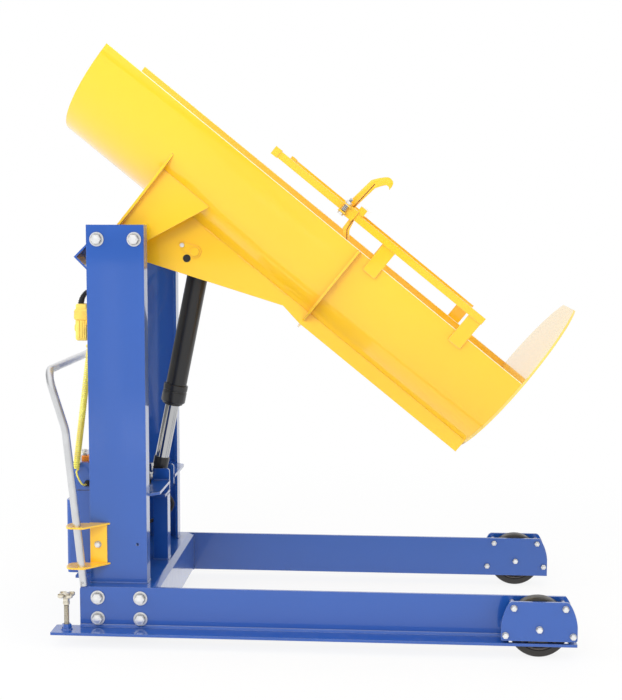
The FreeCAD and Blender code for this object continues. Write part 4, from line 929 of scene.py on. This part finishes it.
class TIPPER_OT_pendant(bpy.types.Operator):
    """Make the pendant's case, its button guards and the ribbed boot of its cord"""

    bl_idname = "tipper.pendant"
    bl_label = "Pendant"

    def execute(self, context):
        x, y = -137, -275
        middle, out = aimed(machine(x, y, 0)), -AHEAD
        buttons = {"raise": (1114, -24), "lower": (1074, -22.5)}
        guard = [(9.4, 0), (13, 0), (13, 2.6), (12, 3.6), (10.4, 3.6), (9.4, 2.8), (9.4, 0)]
        push = [(0, 9.4), (5, 9.2), (7.8, 8.6), (8.8, 7.6), (9, 6.0), (9, 0.6), (8.4, 0), (0, 0)]
        case = Piece()
        case.add(block((-22.5, -20.5, 1030), (22.5, 20.5, 1107), 9, 4), middle)
        case.add(block((-24, -24, 1102), (24, 24, 1140), 5, 3), middle)
        case.add(block((-20, -20, 1134), (20, 20, 1158), 6, 4), middle)
        for across, half in ((-11, 5), (0, 3), (8, 2.5), (15, 2)):
            for low, high in ((-23, -18), (18, 23)):
                case.add(block((across - half, low, 1038), (across + half, high, 1101), 1.8), middle)
        for z in range(1108, 1136, 4):
            case.add(block((-24.6, -24.6, z), (15, -20, z + 2.2), 0.8), middle)
        for z, face in buttons.values():
            case.add(turned(guard), aimed(machine(x + face, y, z), out))
        case.end("pendant_case", "base", "pendant_plastic", ["pendant_shell"])
        self.make_boot(machine(-142, y, 1154), machine(-140, y, 1188))
        for name, (z, _) in buttons.items():
            button = Piece()
            button.add(turned(push), aimed(machine(-155, y, z), out))
            button.end(f"{name}_push", name, "button_plastic", [f"{name}_button"])
        return {"FINISHED"}

    def make_boot(self, low, bend):
        """A row of shrinking ribs along a bend, from the case to where the cord comes out."""
        boot, rings = Piece(), 12
        for step in range(rings):
            along = step / (rings - 1)
            first, second = low.lerp(bend, along), bend.lerp(BOOT_TIP, along)
            wide = 11.5 - along * 4.5
            root, waist = wide - 1.8, wide - 1.5
            rib = [(0, -3), (root, -3), (waist, -1.6), (wide, -0.9), (wide, 0.9), (waist, 1.6), (root, 3), (0, 3)]
            boot.add(turned(rib, 24), aimed(first.lerp(second, along), second - first))
        boot.end("ribbed_boot", "base", "black_rubber", ["pendant_boot"])


class TIPPER_OT_clamp_screw(bpy.types.Operator):
    """Make the carriage's clamping screw with its coil spring"""

    bl_idname = "tipper.clamp_screw"
    bl_label = "Clamp Screw"

    def execute(self, context):
        place = on_chute(533, -369, 0)
        screw = Piece()
        screw.add(threaded(6, 62, 119, 1.8, 16), place)
        screw.add(hexagon(19, 9), raised(place, 53))
        screw.add(hexagon(19, 10), raised(place, 96))
        screw.add(turned(ring(6, 12, 90, 92)), place)
        screw.add(self.spring(), raised(place, 69))
        screw.end("clamp_spring_screw", "carriage", "zinc_steel", ["clamp_bolt"])
        return {"FINISHED"}

    def spring(self):
        """A coil spring: a small circle spun with a rise."""
        turns, rise, wire, radius = 5, 20, 1.2, 7.8
        steps = turns * 14
        bm = bmesh.new()
        place = Matrix.Translation((radius * MM, 0, 0)) @ Matrix.Rotation(math.pi / 2, 4, "X")
        bmesh.ops.create_circle(bm, cap_ends=True, segments=8, radius=wire * MM, matrix=place)
        bmesh.ops.spin(
            bm, geom=bm.verts[:] + bm.edges[:] + bm.faces[:], cent=(0, 0, 0), axis=(0, 0, 1),
            dvec=(0, 0, rise * MM / steps), angle=2 * math.pi * turns, steps=steps
        )
        return bm


class TIPPER_OT_hook_lever(bpy.types.Operator):
    """Make the clamp lever: a grooved arm with a rounded hook above and a claw below"""

    bl_idname = "tipper.hook_lever"
    bl_label = "Hook Lever"

    def execute(self, context):
        s, h = 556, 79
        arm = [
            (-28, 14), (-14.6, 128), (1, 149), (18, 167), (27, 172), (36, 172.5), (44, 170), (50, 164), (53, 154),
            (53, 140), (44, 147), (34.5, 146), (24, 133), (12.3, 114), (-1, 14),
        ]
        arm_groove = [(-2.6, 14), (4.8, 124), (1.6, 124), (-5.8, 14)]
        foot = [
            (8, -9), (10, -18), (11, -56), (33, -80), (36, -112), (60, -104), (52, -72), (34, -47), (25.5, -11),
        ]
        foot_groove = [(22.5, -9.5), (28, -50), (50, -78), (47, -80), (25, -52), (19.5, -9.5)]
        claw = [(38, -108), (46, -108), (46, -82), (38, -82)]
        lever = Piece()
        for outline, groove in ((arm, arm_groove), (foot, foot_groove)):
            lever.add(prism(outline, 10, 0.8), upright_on_chute(s, -306.5, h))
            lever.add(prism(outline + groove, 10.5, 0.4), upright_on_chute(s, -316.5, h))
        lever.add(turned(ring(8.4, 19, 0, 19)), aimed(chute(s, -316, h), LEFT))
        lever.add(prism(claw, 47, 1), upright_on_chute(s, -316, h))
        lever.end("hooked_arm", "lever", "yellow_paint", ["hook_lever"])
        return {"FINISHED"}


class TIPPER_OT_ear_roots(bpy.types.Operator):
    """Make the corners that join the hinge ears to the saddle above the bearings"""

    bl_idname = "tipper.ear_roots"
    bl_label = "Ear Roots"

    def execute(self, context):
        outline = [(-32, -426), (-32, -468), (-20, -492), (10, -489), (10, -430)]
        roots = Piece()
        for low in (-259.6, 252.4):
            roots.add(prism(outline, 7.2), upright_on_chute(0, low, 0))
        roots.end("ear_corners", "chute", "yellow_paint")
        return {"FINISHED"}


class TIPPER_OT_rim_edges(bpy.types.Operator):
    """Make the rounded edges along both rims of the chute, in a pale enamel that paints their highlight"""

    bl_idname = "tipper.rim_edges"
    bl_label = "Rim Edges"

    def execute(self, context):
        rims = Piece()
        for side in SIDES.values():
            inner, outer = sorted((side * (CHUTE_INSIDE - 0.3), side * (CHUTE_INSIDE + 4.9)))
            rims.add(block((-431, inner, -1.5), (1365, outer, 1.2), 1.2, 3), on_chute(0, 0, 0))
        rims.end("rim_edges", "chute", "yellow_paint", finish="rim_highlight_enamel")
        return {"FINISHED"}


class TIPPER_OT_handle_hole_shades(bpy.types.Operator):
    """Make dark discs that paint the shade in the small holes near the lower ends of the push handle"""

    bl_idname = "tipper.handle_holes"
    bl_label = "Handle Hole Shades"

    def execute(self, context):
        rim = [(0, 0), (3.4, 0), (3.4, 0.9), (2.9, 1.1), (2.6, 0.4), (0, 0.4)]
        hole_shades = Piece()
        for side in SIDES.values():
            # Painted shade: black discs stand for the dark insides of the holes
            hole_shades.add(turned(rim, 20), aimed(machine(-117.4, side * 412.9, 209), LEFT * side))
        hole_shades.end("handle_holes", "base", "black_rubber")
        return {"FINISHED"}


class TIPPER_OT_pin_keeper(bpy.types.Operator):
    """Make the screw of the lift pin's keeper, and dark dishes that paint the shade in the spare holes beside it
    """

    bl_idname = "tipper.pin_keeper"
    bl_label = "Pin Keeper"

    def execute(self, context):
        screw, hole_shades = Piece(), Piece()
        spot = aimed(self.beside_pin(-49, -184.2, -10), -LEFT)
        screw.add(hexagon(15, 7), spot)
        screw.add(turned([(0, 8), (4, 8), (6, 6), (0, 6)]), spot)
        screw.end("keeper_screw", "chute", "zinc_steel")
        # Painted shade: dark dishes sunk in the spare holes stand for their shaded insides
        shade_dish = [(0, -1.5), (13.5, -1.5), (13.5, 1.0), (12.8, 1.0), (12.0, -0.6), (0, -0.6)]
        for side in SIDES.values():
            hole_shades.add(turned(shade_dish, 36), aimed(self.beside_pin(-8, side * 174.5, -37), LEFT * side))
        hole_shades.end("spare_holes", "chute", "black_rubber")
        return {"FINISHED"}

    def beside_pin(self, s, y, h):
        """A point in metres, from millimetres down the chute, to the left and out from the lift pin."""
        return LIFT_PIN + (CHUTE_WAY * s + LEFT * y + CHUTE_OUT * h) * MM


class TIPPER_OT_lift_cylinder(bpy.types.Operator):
    """Make the lift cylinder's grooved gland and its wiper"""

    bl_idname = "tipper.lift_cylinder"
    bl_label = "Lift Cylinder"

    def execute(self, context):
        place = aimed(LIFT_PIN, machine(71, 0, 501) - LIFT_PIN)
        gland, wiper = Piece(), Piece()
        gland.add(turned([
            (38.1, 501), (43, 501), (44.5, 502.5), (44.5, 521), (43, 522), (43, 527), (44.5, 528), (44.5, 563),
            (42.5, 567), (37, 570), (37, 574), (25.9, 574), (25.9, 553), (38.1, 552), (38.1, 501),
        ], 64), place)
        gland.end("grooved_gland", "barrel", "black_paint", ["cylinder_gland"])
        wiper.add(turned([(25.7, 572), (32, 572), (32, 576), (29, 578.5), (25.7, 578.5), (25.7, 572)], 48), place)
        wiper.end("rod_wiper", "barrel", "black_rubber")
        return {"FINISHED"}


class TIPPER_OT_power_unit(bpy.types.Operator):
    """Make the oil tank's ribbed cap and vent, and the motor's bands, screws and studs"""

    bl_idname = "tipper.power_unit"
    bl_label = "Power Unit"

    def execute(self, context):
        self.make_tank_top()
        self.make_motor(-165, 262)
        return {"FINISHED"}

    def make_tank_top(self):
        """The filler cap with its grip ribs, and the vent beside it."""
        cap, vent, ribs = Piece(), Piece(), 36
        place = aimed(machine(-150, -185, 591))
        grip = [around(20 if i % 2 else 19, math.pi * i / ribs) for i in range(ribs * 2)]
        cap.add(prism(grip, 16), place)
        cap.add(turned([(0, 15), (18.5, 15), (18.5, 17.5), (17, 19), (0, 19)], 40), place)
        cap.end("ribbed_cap", "base", "cap_plastic", ["tank_filler_cap"])
        place = aimed(machine(-159, -185, 610))
        vent.add(turned([(0, 0), (8.5, 0), (8.5, 2), (7, 3), (7, 8.5), (0, 8.5)]), place)
        vent.add(hexagon(20, 6, 0.8), raised(place, 8))
        vent.add(turned([(0, 13), (10, 13), (10.5, 14), (10.5, 18), (8, 21.5), (0, 22)]), place)
        vent.end("tank_vent", "base", "zinc_steel")

    def make_motor(self, x, z):
        """The bands round the motor, the screws of its end and the studs on top."""
        motor, studs = Piece(), Piece()
        band = [(58, 0), (61.2, 0), (61.8, 1), (61.8, 9), (61.2, 10), (58, 10), (58, 0)]
        for start in (104, 246):
            motor.add(turned(band, 64), aimed(machine(x, start, z), LEFT))
        for quarter in range(4):
            ahead, up = around(44, math.radians(45 + 90 * quarter))
            motor.add(hexagon(10, 6, 0.6), aimed(machine(x + ahead, 281, z + up), LEFT))
        motor.end("motor_bands", "base", "black_paint")
        for y in (170, 206):
            place = aimed(machine(x, y, z))
            studs.add(threaded(4, 58, 76, 1.4, 14), place)
            studs.add(hexagon(13, 5, 0.6), raised(place, 61))
        studs.end("motor_studs", "base", "zinc_steel")


class TIPPER_OT_hose_fittings(bpy.types.Operator):
    """Make the crimped ferrule at the valve block and the elbow on the cheek"""

    bl_idname = "tipper.hose_fittings"
    bl_label = "Hose Fittings"

    def execute(self, context):
        ferrule = [
            (7.05, 9), (10, 9), (10, 13), (9.2, 14), (10, 15), (10, 19), (9.2, 20), (10, 21), (10, 28), (9, 30),
            (7.05, 30), (7.05, 9),
        ]
        fittings = Piece()
        valve = aimed(VALVE_PORT, AHEAD)
        elbow = aimed(machine(57, -80, 536), -UP)
        fittings.add(hexagon(24, 10), valve)
        fittings.add(turned(ferrule), valve)
        fittings.add(block((46, -92, 532), (68, -52.2, 556), 3), aimed(machine(0, 0, 0)))
        fittings.add(hexagon(22, 12), aimed(machine(57, -80, 554)))
        fittings.add(hexagon(22, 10), elbow)
        fittings.add(turned(ferrule), elbow)
        fittings.end("hose_ends", "base", "zinc_steel", finish="chrome")
        return {"FINISHED"}


class TIPPER_OT_leg_fillets(bpy.types.Operator):
    """Make the rounded roots between the legs' webs and toe flanges"""

    bl_idname = "tipper.leg_fillets"
    bl_label = "Leg Fillets"

    def execute(self, context):
        hollow = [(0, 0), (9, 0), (5.9, 1.0), (2.7, 2.7), (1.0, 5.9), (0, 9)]
        roots = Piece()
        for side in SIDES.values():
            for start, end in ((-131, 1329), (1526, 1553)):
                place = framed(machine(start, side * (WEB_AT - 0.1), 52.4), LEFT * side, UP, AHEAD)
                roots.add(prism(hollow, end - start), place)
        roots.end("leg_roots", "base", "blue_paint")
        return {"FINISHED"}


def weld_beads(name, body, slot, runs):
    """Rippled weld beads along straight runs, sunk halfway into the joint."""
    curve = round_curve(name, bpy.context.scene.tipper_sizes.weld, 1)
    for start, end in runs:
        steps = max(4, round((end - start).length / (RIPPLE * MM)))
        spline = curve.splines.new("POLY")
        spline.points.add(steps)
        for step, point in enumerate(spline.points):
            point.co = (*start.lerp(end, step / steps), 1.0)
            point.radius = 0.62 if step in (0, steps) else (1.0, 0.86)[step % 2]
    placed(name, curve, body, slot)


class TIPPER_OT_welds(bpy.types.Operator):
    """Make the weld beads of the frame and of the chute"""

    bl_idname = "tipper.welds"
    bl_label = "Welds"

    def execute(self, context):
        deck, under = 193, -math.sqrt(335 ** 2 - 178 ** 2) - 1
        frame_runs, chute_runs = [], []
        for side in SIDES.values():
            foot = [(-104.5, 289), (-104.5, 346), (93.5, 346), (93.5, 289)]
            corners = [machine(x, side * y, deck) for x, y in foot]
            frame_runs += zip(corners, corners[1:])
            for start, end, y, z in ((-104, 104, 52, 443), (66, 122, 53, 497), (57, 110, 27, deck)):
                frame_runs.append((machine(start, side * y, z), machine(end, side * y, z)))
            posts = [(s, 51, 340, h) for s in (708, 1078) for h in (-40, 66.5)]
            plates = [(s, 70, 179, under) for s in (40, 190, 340, 490)]
            for s, long, y, h in posts + plates:
                chute_runs.append((chute(s, side * y, h), chute(s + long, side * y, h)))
        frame_runs += [(machine(x, -27, deck), machine(x, 27, deck)) for x in (57, 110)]
        weld_beads("frame_welds", "base", "blue_paint", frame_runs)
        weld_beads("chute_welds", "chute", "yellow_paint", chute_runs)
        return {"FINISHED"}


class TIPPER_OT_finishes(bpy.types.Operator):
    """Give every carried-over node the finish of its slot"""

    bl_idname = "tipper.finishes"
    bl_label = "Finishes"

    def execute(self, context):
        for subpart in frame["record"]["subparts"]:
            node = NODES[subpart["node"]]
            node.data.materials.clear()
            node.data.materials.append(Finishes.made[subpart["material_slot"]])
        return {"FINISHED"}


OPERATORS = (
    TIPPER_OT_stage,
    TIPPER_OT_curly_cord,
    TIPPER_OT_hose,
    TIPPER_OT_hose_fittings,
    TIPPER_OT_bolts,
    TIPPER_OT_front_wheels,
    TIPPER_OT_leg_ends,
    TIPPER_OT_casters,
    TIPPER_OT_floor_locks,
    TIPPER_OT_pendant,
    TIPPER_OT_clamp_screw,
    TIPPER_OT_hook_lever,
    TIPPER_OT_pin_keeper,
    TIPPER_OT_ear_roots,
    TIPPER_OT_rim_edges,
    TIPPER_OT_handle_hole_shades,
    TIPPER_OT_lift_cylinder,
    TIPPER_OT_power_unit,
    TIPPER_OT_leg_fillets,
    TIPPER_OT_welds,
    TIPPER_OT_finishes,
)


class TIPPER_PT_panel(bpy.types.Panel):
    """Lists the steps that build the machine's looks"""

    bl_idname = "TIPPER_PT_panel"
    bl_label = "Drum Tipper"
    bl_space_type = "VIEW_3D"
    bl_region_type = "UI"
    bl_category = "Tipper"

    def draw(self, context):
        for operator in OPERATORS:
            self.layout.operator(operator.bl_idname)


GROUPS = {"tipper_colours": TipperColours, "tipper_sizes": TipperSizes, "tipper_stage": TipperStage}


def register():
    for group in GROUPS.values():
        bpy.utils.register_class(group)
    for name, group in GROUPS.items():
        setattr(bpy.types.Scene, name, PointerProperty(type=group))
    for operator in OPERATORS:
        bpy.utils.register_class(operator)
    bpy.utils.register_class(TIPPER_PT_panel)


def unregister():
    bpy.utils.unregister_class(TIPPER_PT_panel)
    for operator in reversed(OPERATORS):
        bpy.utils.unregister_class(operator)
    for name in GROUPS:
        delattr(bpy.types.Scene, name)
    for group in reversed(GROUPS.values()):
        bpy.utils.unregister_class(group)


def main():
    register()
    Finishes.make()
    for operator in OPERATORS:
        family, name = operator.bl_idname.split(".")
        getattr(getattr(bpy.ops, family), name)()


if __name__ == "__main__":
    main()
